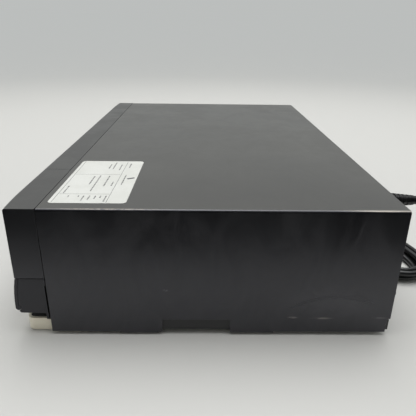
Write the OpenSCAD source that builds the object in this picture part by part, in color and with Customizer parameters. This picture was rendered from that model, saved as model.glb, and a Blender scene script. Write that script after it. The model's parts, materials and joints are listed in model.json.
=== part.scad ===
// Full-width video cassette recorder, front-loading, with its tape deck, boards and power cord.
// X runs to the recorder's right as seen from in front, Y to its rear, Z up from the floor.
// Depths called "depth" are measured back from the flat ends of the front panel.

/* [Casing] */
// Overall width of the casing
body_w = 430; // [424:1:440]
// Depth from the front panel's ends to the rear of the cover
body_d = 266.5; // [264:0.5:290]
// Height from the floor to the top of the cover
body_h = 99; // [98.5:0.5:106]
// Height of the feet, from the floor to the underside of the chassis
foot_h = 12.6; // [11.5:0.1:13]
// Thickness of the cover and chassis sheet steel
steel_t = 0.8; // [0.6:0.1:1]
// Height of the cover's skirt above the floor
skirt_z = 3; // [2.6:0.1:3.6]
// Outer bend radius of the cover's long edges
bend_r = 2; // [1.5:0.1:2.5]

/* [Front panel] */
// Depth of the front panel's top strip, back to the cover's edge
front_depth = 21; // [20.5:0.5:22]
// Wall of the moulded front panels
panel_wall = 2.2; // [1.8:0.1:2.4]
// How far the middle of the upper panel stands in front of its ends
bow = 1.6; // [1:0.1:2.2]
// Length over which the upper panel falls back at each end
bow_run = 35; // [30:1:40]
// Room beside the cassette door, out to the seam of each end section
door_side = 29; // [27:0.5:31]
// Joint between neighbouring front mouldings
seam = 0.45; // [0.3:0.05:0.6]
// Shadow gap between the front mouldings and the cover's edge
reveal = 0.5; // [0.3:0.05:0.7]
// How far the lower panel's flap stands in front of the upper panel's ends
nose_out = 2.75; // [2.4:0.05:3.2]
// Height of the lower panel
nose_h = 28.2; // [27.5:0.1:29]
// Thickness of the flip-down flap
flap_t = 2.2; // [2:0.1:2.4]
// Gap round caps, doors and flaps
front_gap = 0.35; // [0.25:0.05:0.45]
// Travel of every push button
button_travel = 1.2; // [1:0.1:1.5]

/* [Cassette] */
// Width of the cassette the slot takes
cassette_w = 188; // [187:0.5:189]
// Depth of the cassette
cassette_d = 104; // [103:0.5:105]
// Height of the cassette
cassette_h = 25; // [24:0.5:26]
// How far the holder carries the cassette back
travel_in = 60; // [56:1:62]

/* [Tape deck] */
// Width of the deck plate
deck_w = 220; // [214:1:224]
// Thickness of the deck plate
deck_t = 1.6; // [1.2:0.1:2]
// Distance between the two reel spindles
reel_pitch = 90; // [88:0.5:92]
// Diameter of the head drum
drum_d = 62; // [60:0.5:62]
// Lean of the head drum
drum_tilt = 5.9; // [4:0.1:6]
// Diameter of the capstan shaft
capstan_d = 4; // [3:0.5:5]
// Diameter of the pinch roller
pinch_d = 13; // [12:0.5:14]
// Running clearance of shafts in their bearings, on the radius
bearing_gap = 0.05; // [0.02:0.01:0.09]

/* [Rear] */
// How far the rear sockets stand out behind the cover
jack_out = 9; // [8:0.5:10]
// Radius of a phono socket's outer sleeve
phono_r = 4.15; // [4:0.05:4.3]
// Radius of an aerial socket's threaded barrel
aerial_r = 4.76; // [4.6:0.02:4.8]
// Diameter of the power cord
cord_d = 5; // [4.5:0.1:5.4]

/* [Hidden] */
$fn = 48;
fine = 720;
eps = 0.01;

// Casing, worked out
half_w = body_w / 2;
front_y = nose_out - (nose_out + body_d + jack_out) / 2;
rear_y = front_y + body_d;
cover_in = half_w - steel_t;
fit = 0.3;
base_top = foot_h + steel_t;
rear_in_y = rear_y - steel_t;
rear_t = 1.2;
rear_face_y = rear_in_y - rear_t;
edge_r = 1.5;
lip_w = 11;
screw_r = 1.5;

// Heights inside: what the sheets, the cassette and its clearances leave is shared out
board_t = 1.6;
reel_rise = 9.9;
slot_below = 2.5;
slot_above = 5.5;
door_rise = 6;
slack = body_h - foot_h - steel_t - board_t - deck_t - reel_rise - cassette_h - slot_above - door_rise;
board_lift = slack / 9;
deck_lift = slack * 5 / 12;
travel_down = slack * 17 / 36;
lift_share = deck_lift / 15;
board_z = base_top + board_lift;
board_top = board_z + board_t;
deck_z = board_top + deck_lift;
deck_top = deck_z + deck_t;
cassette_low_z = deck_top + reel_rise;
cassette_z = cassette_low_z + travel_down;
slot_low = cassette_z - slot_below;
slot_high = cassette_z + cassette_h + slot_above;

// Front panel
nose_z = foot_h + 5.9;
nose_top = nose_z + nose_h;
upper_z = nose_top + seam;
bow_x = half_w - bow_run;
bow_r = (bow_run * bow_run + bow * bow) / (2 * bow);
bow_sweep = 1.3 * asin(bow_run / bow_r);
door_w = cassette_w + 12;
end_x = door_w / 2 + door_side;
end_w = half_w - end_x;
tongue = 4;
tongue_t = 1.6;
leg_depth = front_depth - 1.2;
leg_z = nose_top - 5.7;
roll_r = 2;
roll_depth = roll_r - nose_out;
roll_z = nose_z + 4.4;
flap_top = nose_top - 0.4;
nose_r = (pow(nose_top - roll_z, 2) + nose_out * nose_out) / (2 * nose_out);
nose_arc_depth = nose_r - nose_out;
flap_pin_r = 1;
flap_ear_x = 150;
flap_ear_w = 4;
tray_w = 240;
tray_depth = 3.5;
tray_cap_depth = 2.1;
tray_low = nose_z + 7.5;
tray_high = nose_top - 3;
tray_floor = 1.6;

// Cassette door
door_t = 2;
door_depth = 0.3;
hinge_depth = 5;
hinge_z = slot_high + 1;
door_pin_r = 1.5;
door_arm_t = 2.5;
lug_t = 3;
lug_r = 3;
spring_wire = 0.7;
spring_turns = 6;

// Buttons: [x, z, width, height]
cap_proud = 1.05;
key_row_z = slot_low + 6;
key_h = 8.5;
key_pitch = (end_w - 30.5) / 3;
key_w = key_pitch - 2.5;
key_x0 = -(half_w - 18);
button_at = [
    ["power", -(half_w - 19), slot_high - 9, 20, 9],
    ["eject", end_x - 14.5, cassette_z + 14, 17, 9],
    ["rewind", key_x0, key_row_z, key_w, key_h],
    ["play", key_x0 + key_pitch, key_row_z, key_w, key_h],
    ["forward", key_x0 + 2 * key_pitch, key_row_z, key_w, key_h],
    ["stop", key_x0 + 3 * key_pitch, key_row_z, key_w, key_h]];
tray_button_z = (tray_low + tray_high) / 2;
tray_button_w = 14;
tray_button_h = 8;
tray_button_at = [["record", -100], ["pause", -78], ["channel_down", 78], ["channel_up", 100]];
tray_jack_x = [-20, 0, 20];
well_r = 6;
cap_flange = 1;
flange_t = 1;
switch_w = 6;
switch_h = 4;
key_board_depth = 13;
lower_board_depth = 13;
boss_r = 2.6;

// Display
window_x0 = end_x + 7;
window_x1 = half_w - 11;
window_z0 = slot_low + 2;
window_z1 = slot_high - 5;
window_t = 1.6;
window_depth = 0.75 - window_t;
window_ledge = 3.5;
window_frame = 2;

// Feet
foot_w = 58;
foot_d = 42;
foot_corner = 5.8;
foot_depth = 1;
foot_x = half_w - 5.3 - foot_w / 2;
band_t = 2;
band_z0 = 0.3;
band_z1 = 10.5;
rear_foot_r = 12;
rear_foot_x = half_w - 35;
rear_foot_y = rear_y - 26;

// Tape deck, depths behind the front panel's ends
deck_half = deck_w / 2;
deck_front = 26;
deck_rear = 229;
post_r = 4;
post_x = deck_half - 8;
post_depths = [34, 218];
post_at = [[-post_x, post_depths[0]], [post_x, post_depths[0]], [post_x, post_depths[1]],
    [-post_x + 26, post_depths[1]]];
reel_depth = 38 + 47;
reel_r = 19;
reel_shaft_r = 2;
drum_depth = 38 + cassette_d + 45;
drum_hole_r = 28;
drum_origin_z = deck_top + 4.5;
capstan_x = 66;
capstan_depth = drum_depth - 35;
rotor_r = 24;
pinch_pivot = [92, capstan_depth - 2];
pinch_arm_len = 18;
pinch_gap = 0.15;
pinch_swing = 45;
pinch_dx = pinch_pivot[0] - capstan_x;
pinch_dy = capstan_depth - pinch_pivot[1];
pinch_dist = sqrt(pinch_dx * pinch_dx + pinch_dy * pinch_dy);
pinch_reach = pinch_d / 2 + capstan_d / 2 + pinch_gap;
pinch_corner = acos((pow(pinch_arm_len, 2) + pow(pinch_dist, 2) - pow(pinch_reach, 2))
    / (2 * pinch_arm_len * pinch_dist));
pinch_closed = 180 - atan2(pinch_dy, pinch_dx) + pinch_corner;
pinch_open = pinch_closed + pinch_swing;
pinch_at = [pinch_pivot[0] + pinch_arm_len * cos(pinch_open),
    pinch_pivot[1] + pinch_arm_len * sin(pinch_open)];
guide_from = [52, drum_depth - 49];
guide_to = [40, drum_depth + 16];
guide_run = norm(guide_to - guide_from);
guide_angle = atan2(guide_to[1] - guide_from[1], guide_to[0] - guide_from[0]);
guide_slot_w = 6;
keel_half = 3;
tension_pivot = [-74, drum_depth - 56];
tension_len = 20;
cam_at = [-86, drum_depth + 3];
cam_teeth = 40;
cam_module = 0.8;
cam_r = cam_teeth * cam_module / 2;
worm_r = 3.6;
worm_x = cam_at[0] - cam_r - worm_r - 0.9;
motor_r = 12;
motor_len = 28;
motor_depth = cam_at[1] + 15;
motor_z = deck_top + 4.4;
idler_pivot = [0, reel_depth - 23];
idler_len = 38;
idler_teeth = 24;
idler_module = 1;
idler_r = idler_teeth * idler_module / 2;

// Loader
holder_t = 1;
holder_half = cassette_w / 2 + 0.3;
holder_front = 24;
holder_top_front = 47;
holder_rear = holder_front + 60;
holder_lip = 6.5;
slider_gap = 0.4;
slider_x = holder_half + holder_t + slider_gap;
slider_t = 1.2;
frame_x = slider_x + slider_t + fit;
frame_t = 1.2;
loader_pin_r = 1.5;
loader_pin_z = cassette_z + 12.5;
loader_pins = [holder_rear - 34, holder_rear - 6];
slot_play = 0.3;
frame_front = 42;
frame_rear = 152;
frame_top = slot_high + 1;

// Left and right bays beside the deck
bay_gap = 12;
psu_x0 = deck_half + bay_gap;
psu_x1 = half_w - 9;
psu_y1 = rear_face_y - 6;
psu_y0 = psu_y1 - 130;
psu_z = base_top + 6;
tuner_x1 = worm_x - motor_r - 7.5;
tuner_x0 = tuner_x1 - 50;
tuner_y1 = rear_face_y - 0.2;
tuner_y0 = tuner_y1 - 58;
tuner_h = 34;
aerial_x = (tuner_x0 + tuner_x1) / 2;
aerial_z = [board_top + 9, board_top + 25];
phono_x = [-70, -52];
phono_z = [board_top + 8, board_top + 22, board_top + 36];
phono_boss_r = phono_r + 1;
aerial_boss_r = aerial_r + 1.4;
main_x0 = -half_w + 19;
main_x1 = deck_half + 4;

// Power cord: straight out of the relief, down to the floor, then into the hank
cord_r = cord_d / 2;
relief_x = half_w - 45;
relief_z = body_h - 9;
relief_len = 24;
relief_end = rear_y + relief_len;
hank_z = 3.6;
cord_route = [
    [0, 0, 1], [0, 6, 1], [-0.1, 14.9, 0.981], [-0.6, 22.4, 0.924], [-1.4, 27.4, 0.829],
    [-2.5, 30.5, 0.715], [-4, 32.9, 0.589], [-5.8, 35.5, 0.463], [-8.4, 38.5, 0.343],
    [-12.2, 41.9, 0.228], [-17.8, 45.3, 0.125], [-24.8, 47.9, 0.049], [-32.2, 49.2, 0.009],
    [-40, 49.5, 0], [-48, 49.5, 0]];
cord_points = [for (p = cord_route)
    [relief_x + p[0], relief_end + p[1], hank_z + (relief_z - hank_z) * p[2]]];
hank_run = 96;
hank_inner = 15;
hank_step = 6;
hank_layer = 5.8;
hank_turns = 2;
hank_waist = 8;
hank_rings = 24;
run_share = 0.2;
hank_outer = hank_inner + hank_step * (hank_turns + run_share / 2);
hank_start = cord_points[len(cord_points) - 1];
hank_x = hank_start[0] - hank_run / 2 - cord_d;
hank_y = hank_start[1] - hank_outer;

function unit(v) = v / norm(v);
function on_circle(c, r, a) = [c[0] + r * cos(a), c[1] + r * sin(a)];

// A 2D outline in (depth, height), extruded along X
module along_x(x0, x1) {
    translate([x0, front_y, 0]) rotate([90, 0, 90]) linear_extrude(x1 - x0) children();
}

// A 2D outline in (x, height), extruded along Y
module along_y(y0, y1) {
    translate([0, y1, 0]) rotate([90, 0, 0]) linear_extrude(y1 - y0) children();
}

// A box by its corners
module block(x0, x1, y0, y1, z0, z1) {
    translate([x0, y0, z0]) cube([x1 - x0, y1 - y0, z1 - z0]);
}

// The same, with Y given as a depth behind the front panel's ends
module deep_block(x0, x1, d0, d1, z0, z1) {
    block(x0, x1, front_y + d0, front_y + d1, z0, z1);
}

module mirrored() {
    children();
    mirror([1, 0, 0]) children();
}

module round_rect(w, h, r) {
    square([w - 2 * r, h], center = true);
    square([w, h - 2 * r], center = true);
    for (x = [-1, 1], y = [-1, 1]) {
        translate([x * (w / 2 - r), y * (h / 2 - r)]) circle(r = r);
    }
}

// A pin, boss or hole along Y
module rod_y(x, y0, y1, z, r) {
    translate([x, y1, z]) rotate([90, 0, 0]) cylinder(r = r, h = y1 - y0);
}

module rod_x(x0, x1, depth, z, r) {
    translate([x0, front_y + depth, z]) rotate([0, 90, 0]) cylinder(r = r, h = x1 - x0);
}

module rod_z(x, depth, z0, z1, r) {
    translate([x, front_y + depth, z0]) cylinder(r = r, h = z1 - z0);
}

// A gear outline with straight-sided teeth that leave backlash
module gear_outline(teeth, tooth_module) {
    pitch_r = teeth * tooth_module / 2;
    tip_r = pitch_r + 0.8 * tooth_module;
    root_r = pitch_r - tooth_module;
    step = 360 / teeth;
    polygon([for (i = [0:teeth - 1], k = [0:3])
        on_circle([0, 0], (k == 1 || k == 2) ? tip_r : root_r,
            i * step + [-0.28, -0.12, 0.12, 0.28][k] * step)]);
}

// A round tube swept along points, its rings carried without twist
module tube(points, r, sides) {
    last = len(points) - 1;
    tangents = [for (i = [0:last]) unit(points[min(i + 1, last)] - points[max(i - 1, 0)])];
    start = unit(cross(tangents[0], abs(tangents[0][2]) > 0.9 ? [1, 0, 0] : [0, 0, 1]));
    sideways = [for (i = 0, u = start; i <= last;
        i = i + 1, u = i <= last ? unit(u - tangents[i] * (u * tangents[i])) : u) u];
    rings = [for (i = [0:last], j = [0:sides - 1])
        let (a = 360 * (j + 0.5) / sides, up = cross(tangents[i], sideways[i]))
        points[i] + r * (cos(a) * sideways[i] + sin(a) * up)];
    walls = [for (i = [0:last - 1], j = [0:sides - 1])
        let (a = i * sides + j, b = i * sides + (j + 1) % sides)
        each [[a, a + sides, b], [b, a + sides, b + sides]]];
    caps = [for (j = [1:sides - 2])
        each [[0, j, j + 1], [last * sides, last * sides + j + 1, last * sides + j]]];
    polyhedron(points = rings, faces = concat(walls, caps), convexity = 10);
}

// ---------------------------------------------------------------- casing

module cover_outline(inset) {
    r = bend_r - inset;
    w = half_w - inset;
    top = body_h - inset;
    translate([-w, 0]) square([2 * w, top - r]);
    translate([-w + r, 0]) square([2 * (w - r), top]);
    for (s = [-1, 1]) translate([s * (w - r), top - r]) circle(r = r);
}

// Skirt cuts: [from depth, to depth, height of the edge above the floor]
skirt_tab = 1.1;
notch_z = foot_h + 0.8;
skirt_cuts = [
    [front_depth - 1, 70, skirt_z],
    [98, 101, skirt_z],
    [101, 150, notch_z],
    [150, 182, skirt_z - 0.7],
    [182, body_d + 1, skirt_z + 0.2],
    [body_d - 2.5, body_d + 1, foot_h + 2]];
cover_screw_x = [-half_w + 22, 0, half_w - 22];
cover_screw_z = body_h - lip_w / 2 - 0.5;
side_screw_x = half_w - lip_w / 2;
side_screw_z = 34;

module cover_screw_holes(r) {
    for (x = cover_screw_x) rod_y(x, rear_y - 6, rear_y + 1, cover_screw_z, r);
    for (s = [-1, 1]) rod_y(s * side_screw_x, rear_y - 6, rear_y + 1, side_screw_z, r);
}

module top_cover() {
    color([0.2, 0.2, 0.21])
    difference() {
        union() {
            along_y(front_y + front_depth, rear_y) difference() {
                cover_outline(0);
                cover_outline(steel_t);
            }
            along_y(rear_in_y, rear_y) difference() {
                cover_outline(eps);
                translate([-half_w + lip_w, -1]) square([2 * (half_w - lip_w), body_h - lip_w + 1]);
            }
        }
        block(-body_w, body_w, front_y, rear_y + 1, -1, skirt_z - skirt_tab);
        for (c = skirt_cuts) deep_block(-body_w, body_w, c[0], c[1], -1, c[2]);
        cover_screw_holes(screw_r + 0.25);
        rod_y(relief_x, rear_y - 6, rear_y + 1, relief_z, relief_hole_r + 2);
    }
}

module cover_screw() {
    cylinder(r = screw_r, h = 8);
    difference() {
        union() {
            translate([0, 0, -1.2]) cylinder(r = 3.1, h = 1.2);
            translate([0, 0, -2]) cylinder(r1 = 2.3, r2 = 3.1, h = 0.8);
        }
        translate([-1.8, -0.35, -2.5]) cube([3.6, 0.7, 1.3]);
        translate([-0.35, -1.8, -2.5]) cube([0.7, 3.6, 1.3]);
    }
}

module cover_screws() {
    color([0.12, 0.12, 0.12]) {
        for (x = cover_screw_x) {
            translate([x, rear_y, cover_screw_z]) rotate([90, 0, 0]) cover_screw();
        }
        for (s = [-1, 1]) {
            translate([s * side_screw_x, rear_y, side_screw_z]) rotate([90, 0, 0]) cover_screw();
        }
    }
}

flange_x = cover_in - fit;
flange_low = skirt_z + 1.6;
flange_high = base_top + 9;
flange_rear = body_d - steel_t - rear_t - fit;
chassis_front = leg_depth + 0.2;
standoffs = [for (x = [main_x0 + 8, main_x1 - 48], y = [32, body_d - 14]) [x, y]];

module base_chassis() {
    color([0.1, 0.1, 0.1])
    difference() {
        union() {
            deep_block(-flange_x, flange_x, chassis_front, body_d - steel_t, foot_h, base_top);
            mirrored() deep_block(flange_x - steel_t, flange_x, front_depth + 0.6,
                flange_rear, flange_low, flange_high);
            mirrored() deep_block(flange_x - steel_t, flange_x, flange_rear - eps, body_d - fit,
                flange_low, base_top - fit);
            deep_block(-flange_x + 40, flange_x - 40, chassis_front + 2, chassis_front + 2 + steel_t,
                base_top - eps, base_top + 3.5);
            for (p = standoffs) rod_z(p[0], p[1], base_top - eps, board_z, 3.2);
            for (x = [psu_x0 + 6, psu_x1 - 6], y = [psu_y0 + 6, psu_y1 - 6]) {
                translate([x, y, base_top - eps]) cylinder(r = 3.2, h = psu_z - base_top + eps);
            }
            for (p = post_at) rod_z(p[0], p[1], base_top - eps, deck_z, post_r);
        }
        for (p = post_at) rod_z(p[0], p[1], deck_z - 8 * lift_share, deck_z + 1, screw_r + bearing_gap);
        for (i = [0:11]) {
            block(psu_x0 + 8, psu_x1 - 8, psu_y0 + 16 + i * 8, psu_y0 + 19 + i * 8, foot_h - 1, base_top + 1);
        }
    }
}

relief_hole_r = 5.5;

module rear_panel() {
    vents = 9;
    color([0.13, 0.13, 0.13])
    difference() {
        union() {
            along_y(rear_face_y, rear_in_y) intersection() {
                cover_outline(steel_t + fit);
                translate([-body_w, base_top]) square([2 * body_w, body_h]);
            }
            block(-flange_x + 20, flange_x - 20, rear_face_y - 6, rear_face_y + eps, base_top, base_top + 1);
        }
        cover_screw_holes(screw_r + bearing_gap);
        for (x = phono_x, z = phono_z) rod_y(x, rear_face_y - 1, rear_in_y + 1, z, phono_boss_r + fit);
        for (z = aerial_z) rod_y(aerial_x, rear_face_y - 1, rear_in_y + 1, z, aerial_boss_r + fit);
        rod_y(relief_x, rear_face_y - 1, rear_in_y + 1, relief_z, relief_hole_r);
        for (i = [0:vents - 1]) {
            block(psu_x0 - 4 + i * 6, psu_x0 - 1 + i * 6, rear_face_y - 1, rear_in_y + 1, 34, 62);
        }
        block(main_x0 - 1, main_x1 + 1, rear_face_y - 7, rear_face_y, base_top - 1, base_top + 2);
        block(psu_x0 - 1, psu_x1 + 1, rear_face_y - 7, rear_face_y, base_top - 1, base_top + 2);
    }
}

// ---------------------------------------------------------------- front panel

// Rectangle in (depth, height) with its top front corner rounded
module front_outline(d0, z0, z1, r) {
    far = front_depth + 3 * bow + 5;
    translate([d0 + r, z0]) square([far - d0 - r, z1 - z0]);
    translate([d0, z0]) square([r, z1 - z0 - r]);
    translate([d0 + r, z1 - r]) circle(r = r);
}

// Sweeps a (depth, height) outline straight across the middle and back round both ends
module bowed() {
    translate([0, -bow, 0]) along_x(-bow_x, bow_x) children();
    mirrored() translate([bow_x, front_y + bow_r - bow, 0]) rotate([0, 0, -90])
        rotate_extrude(angle = bow_sweep, $fn = fine)
        translate([bow_r, 0]) mirror([1, 0]) children();
}

// One section of the upper panel as an open-backed box from x0 to x1
module upper_section(x0, x1) {
    difference() {
        intersection() {
            bowed() front_outline(0, upper_z, body_h, edge_r);
            deep_block(x0, x1, -bow - 5, front_depth - reveal, 0, body_h + 1);
        }
        intersection() {
            bowed() front_outline(panel_wall, upper_z + panel_wall, body_h - panel_wall, 0.4);
            deep_block(x0 + panel_wall, x1 - panel_wall, -bow - 5, front_depth + 1, 0, body_h + 1);
        }
    }
    top = body_h - steel_t - fit;
    deep_block(max(x0, -cover_in + 3) + 2, min(x1, cover_in - 3) - 2, front_depth - 1,
        front_depth + tongue, top - tongue_t, top);
    deep_block(max(x0, -cover_in + 3) + 2, min(x1, cover_in - 3) - 2, front_depth - 1,
        front_depth, top - tongue_t, body_h - panel_wall + eps);
}

module side_tongue() {
    deep_block(cover_in - fit - tongue_t, cover_in - fit, front_depth - 1, front_depth + tongue,
        upper_z + 4, body_h - 6);
    deep_block(half_w - panel_wall - eps, cover_in - fit, front_depth - 1, front_depth,
        upper_z + 4, body_h - 6);
}

module button_hole(x, z, w, h) {
    translate([x, front_y + 4, z]) rotate([90, 0, 0]) linear_extrude(10)
        round_rect(w + 2 * front_gap, h + 2 * front_gap, 1.5 + front_gap);
}

module upper_button_holes() {
    for (b = button_at) button_hole(b[1], b[2], b[3], b[4]);
}

low_boss_z = upper_z + 0.4 * (slot_low - upper_z);
key_boss_at = [[-half_w + 8, low_boss_z], [-end_x - 8, low_boss_z],
    [-half_w + 8, slot_high], [-end_x - 8, slot_high]];
eject_board = [end_x - 23.5, end_x - 3.5];
eject_boss_at = [[end_x - 14, slot_low + 6], [end_x - 14, slot_high - 6]];
display_boss_at = [[end_x + 9, low_boss_z], [half_w - 8, low_boss_z], [half_w - 8, slot_high + 0.5]];

module board_bosses(places, depth) {
    for (p = places) rod_y(p[0], front_y, front_y + depth, p[1], boss_r);
}

module front_panel() {
    color([0.17, 0.17, 0.18])
    difference() {
        union() {
            upper_section(-end_x + seam / 2, end_x - seam / 2);
            mirrored() {
                deep_block(door_w / 2 + 1, door_w / 2 + 1 + lug_t, 0, hinge_depth, hinge_z - lug_r,
                    body_h - panel_wall + eps);
                deep_block(door_w / 2 + 1, door_w / 2 + 1 + lug_t, hinge_depth - eps, hinge_depth + lug_r,
                    hinge_z, body_h - panel_wall + eps);
                rod_x(door_w / 2 + 1, door_w / 2 + 1 + lug_t, hinge_depth, hinge_z, lug_r);
            }
            board_bosses(eject_boss_at, key_board_depth);
        }
        deep_block(-door_w / 2 - front_gap, door_w / 2 + front_gap, -bow - 5, panel_wall + 1,
            slot_low, slot_high);
        rod_x(-door_w / 2 - lug_t - 2, door_w / 2 + lug_t + 2, hinge_depth, hinge_z,
            door_pin_r + bearing_gap);
        upper_button_holes();
    }
}

module front_end_left() {
    color([0.17, 0.17, 0.18])
    difference() {
        union() {
            upper_section(-half_w, -end_x - seam / 2);
            mirror([1, 0, 0]) side_tongue();
            board_bosses(key_boss_at, key_board_depth);
        }
        upper_button_holes();
    }
}

module front_end_right() {
    color([0.17, 0.17, 0.18])
    difference() {
        union() {
            upper_section(end_x + seam / 2, half_w);
            side_tongue();
            board_bosses(display_boss_at, key_board_depth);
            deep_block(window_x0 - window_frame, window_x1 + window_frame, 0, 2.6,
                window_z0 - window_frame, window_z1 + window_frame);
        }
        deep_block(window_x0 - 0.15, window_x1 + 0.15, -bow - 5, window_depth + window_t,
            window_z0 - 0.15, window_z1 + 0.15);
        deep_block(window_x0 + window_ledge, window_x1 - window_ledge, -bow - 5, 5,
            window_z0 + window_ledge, window_z1 - window_ledge);
        upper_button_holes();
    }
}

module display_window() {
    color([0.05, 0.05, 0.07, 0.8])
    deep_block(window_x0, window_x1, window_depth, window_depth + window_t, window_z0, window_z1);
}

// Disc that bounds the lower panel's swelling front, inset from the flap's outer face
module nose_disc(inset) {
    translate([nose_arc_depth, roll_z]) circle(r = nose_r - inset, $fn = fine);
}

module nose_outline() {
    difference() {
        intersection() {
            nose_disc(flap_t + front_gap);
            polygon([[-nose_out, nose_top], [front_depth - reveal, nose_top],
                [front_depth - reveal, leg_z], [leg_depth, leg_z],
                [leg_depth, nose_z], [0.9, nose_z + 0.4], [roll_depth, roll_z - roll_r - front_gap],
                [-nose_out, roll_z]]);
        }
        translate([roll_depth, roll_z]) circle(r = roll_r + front_gap);
    }
}

module nose_hollow() {
    difference() {
        intersection() {
            nose_disc(flap_t + front_gap + panel_wall);
            translate([0, nose_z + panel_wall]) square([front_depth + 5, nose_h - 2 * panel_wall]);
        }
        translate([roll_depth, roll_z]) circle(r = roll_r + front_gap + 1.5);
    }
}

module flap_ears() {
    mirrored() {
        rod_x(flap_ear_x, flap_ear_x + flap_ear_w, roll_depth, roll_z, roll_r - 0.15);
        deep_block(flap_ear_x, flap_ear_x + flap_ear_w, roll_depth, roll_depth + roll_r + front_gap + 0.3,
            roll_z - roll_r + 0.15, roll_z);
    }
}

lower_boss_at = [for (x = [-half_w + 25, -40, 40, half_w - 25]) [x, tray_high - 2]];

module lower_panel() {
    color([0.16, 0.16, 0.17])
    difference() {
        union() {
            difference() {
                along_x(-half_w, half_w) nose_outline();
                along_x(-half_w + panel_wall, half_w - panel_wall) nose_hollow();
            }
            deep_block(-flange_x, flange_x, leg_depth - 1.8, leg_depth, foot_h, nose_z + 1);
            intersection() {
                deep_block(-tray_w / 2 - 1.6, tray_w / 2 + 1.6, -nose_out, tray_depth + tray_floor,
                    tray_low - 1.6, tray_high + 1.6);
                along_x(-half_w, half_w) difference() {
                    nose_disc(flap_t + front_gap);
                    translate([roll_depth, roll_z]) circle(r = roll_r + front_gap);
                }
            }
            for (p = lower_boss_at) rod_y(p[0], front_y + 3, front_y + lower_board_depth, p[1], boss_r);
            flap_ears();
        }
        deep_block(-tray_w / 2, tray_w / 2, -nose_out - 1, tray_depth, tray_low, tray_high);
        for (x = tray_jack_x) rod_y(x, front_y - 1, front_y + 6, tray_button_z, well_r);
        for (b = tray_button_at) button_hole(b[1], tray_button_z, tray_button_w, tray_button_h);
        for (b = tray_button_at) {
            translate([0, 3, 0]) button_hole(b[1], tray_button_z, tray_button_w, tray_button_h);
        }
        rod_x(-flap_ear_x - flap_ear_w - 1, flap_ear_x + flap_ear_w + 1, roll_depth, roll_z,
            flap_pin_r + bearing_gap);
    }
}

module lower_flap() {
    color([0.18, 0.18, 0.19]) {
        difference() {
            along_x(-half_w + 0.2, half_w - 0.2) {
                difference() {
                    intersection() {
                        nose_disc(0);
                        translate([-nose_out - 1, roll_z]) square([8, flap_top - roll_z]);
                    }
                    nose_disc(flap_t);
                }
                translate([roll_depth, roll_z]) circle(r = roll_r);
            }
            mirrored() deep_block(flap_ear_x - front_gap, flap_ear_x + flap_ear_w + front_gap,
                roll_depth - roll_r - 1, roll_depth + roll_r + 1, roll_z - roll_r - 1, roll_z + roll_r + 0.4);
        }
        mirrored() rod_x(flap_ear_x - 1.5, flap_ear_x + flap_ear_w + 1.5, roll_depth, roll_z, flap_pin_r);
    }
}

module cassette_door() {
    low = slot_low + front_gap;
    high = slot_high - front_gap;
    color([0.19, 0.19, 0.2])
    union() {
        difference() {
            deep_block(-door_w / 2, door_w / 2, door_depth - bow, door_depth - bow + door_t, low, high);
            for (i = [0:2]) {
                deep_block(-door_w / 2 + 12, door_w / 2 - 12, door_depth - bow - 1, door_depth - bow + 0.5,
                    low + 4 + i * 2.4, low + 4.8 + i * 2.4);
            }
        }
        deep_block(-door_w / 2 + 6, door_w / 2 - 6, door_depth - bow + door_t - eps,
            door_depth - bow + door_t + 1.2, low + 3, low + 4.5);
        mirrored() {
            translate([door_w / 2 - door_arm_t, 0, 0]) along_x(0, door_arm_t) {
                polygon([[door_depth - bow + 1, high - 12], [door_depth - bow + 1, high],
                    [hinge_depth - 2.4, hinge_z - 0.5], [hinge_depth + 2.4, hinge_z - 0.8],
                    [door_depth - bow + door_t + 1, high - 12]]);
                translate([hinge_depth, hinge_z]) circle(r = 2.5);
            }
            rod_x(door_w / 2 - door_arm_t - 9, door_w / 2 + 1 + lug_t, hinge_depth, hinge_z, door_pin_r);
        }
    }
}

module door_spring() {
    coil_r = door_pin_r + spring_wire / 2 + 0.25;
    length = spring_turns * (spring_wire + 0.25);
    steps = spring_turns * 10;
    x0 = door_w / 2 - door_arm_t - 1 - length;
    color([0.7, 0.7, 0.72])
    tube([for (i = [0:steps]) let (a = 360 * spring_turns * i / steps)
        [x0 + length * i / steps, front_y + hinge_depth + coil_r * cos(a), hinge_z + coil_r * sin(a)]],
        spring_wire / 2, 6);
}

// ---------------------------------------------------------------- buttons and boards

// A cap with a retaining flange and a stem that reaches its switch
module button(x, z, w, h, cap_front, wall_back, board_depth) {
    stem_end = board_depth - switch_h - button_travel - 0.15;
    flange_at = wall_back + 0.3;
    translate([x, front_y + flange_at, z]) rotate([90, 0, 0])
        linear_extrude(flange_at - cap_front - 0.6) round_rect(w, h, 1.5);
    translate([x, front_y + cap_front + 0.6 + eps, z]) rotate([90, 0, 0])
        linear_extrude(0.6) round_rect(w - 1.2, h - 1.2, 1);
    translate([x, front_y + flange_at + flange_t, z]) rotate([90, 0, 0])
        linear_extrude(flange_t + eps) round_rect(w + 2 * cap_flange, h + 2 * cap_flange, 1);
    rod_y(x, front_y + flange_at, front_y + stem_end, z, 1.6);
}

module upper_button(i) {
    b = button_at[i];
    color([0.32, 0.32, 0.33])
    button(b[1], b[2], b[3], b[4], -bow - cap_proud, panel_wall, key_board_depth);
}

module tray_button(i) {
    b = tray_button_at[i];
    color([0.32, 0.32, 0.33])
    button(b[1], tray_button_z, tray_button_w, tray_button_h, tray_cap_depth, tray_depth + tray_floor,
        lower_board_depth);
}

module tact_switch(x, z, depth) {
    deep_block(x - switch_w / 2, x + switch_w / 2, depth - switch_h, depth + eps,
        z - switch_w / 2, z + switch_w / 2);
}

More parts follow.
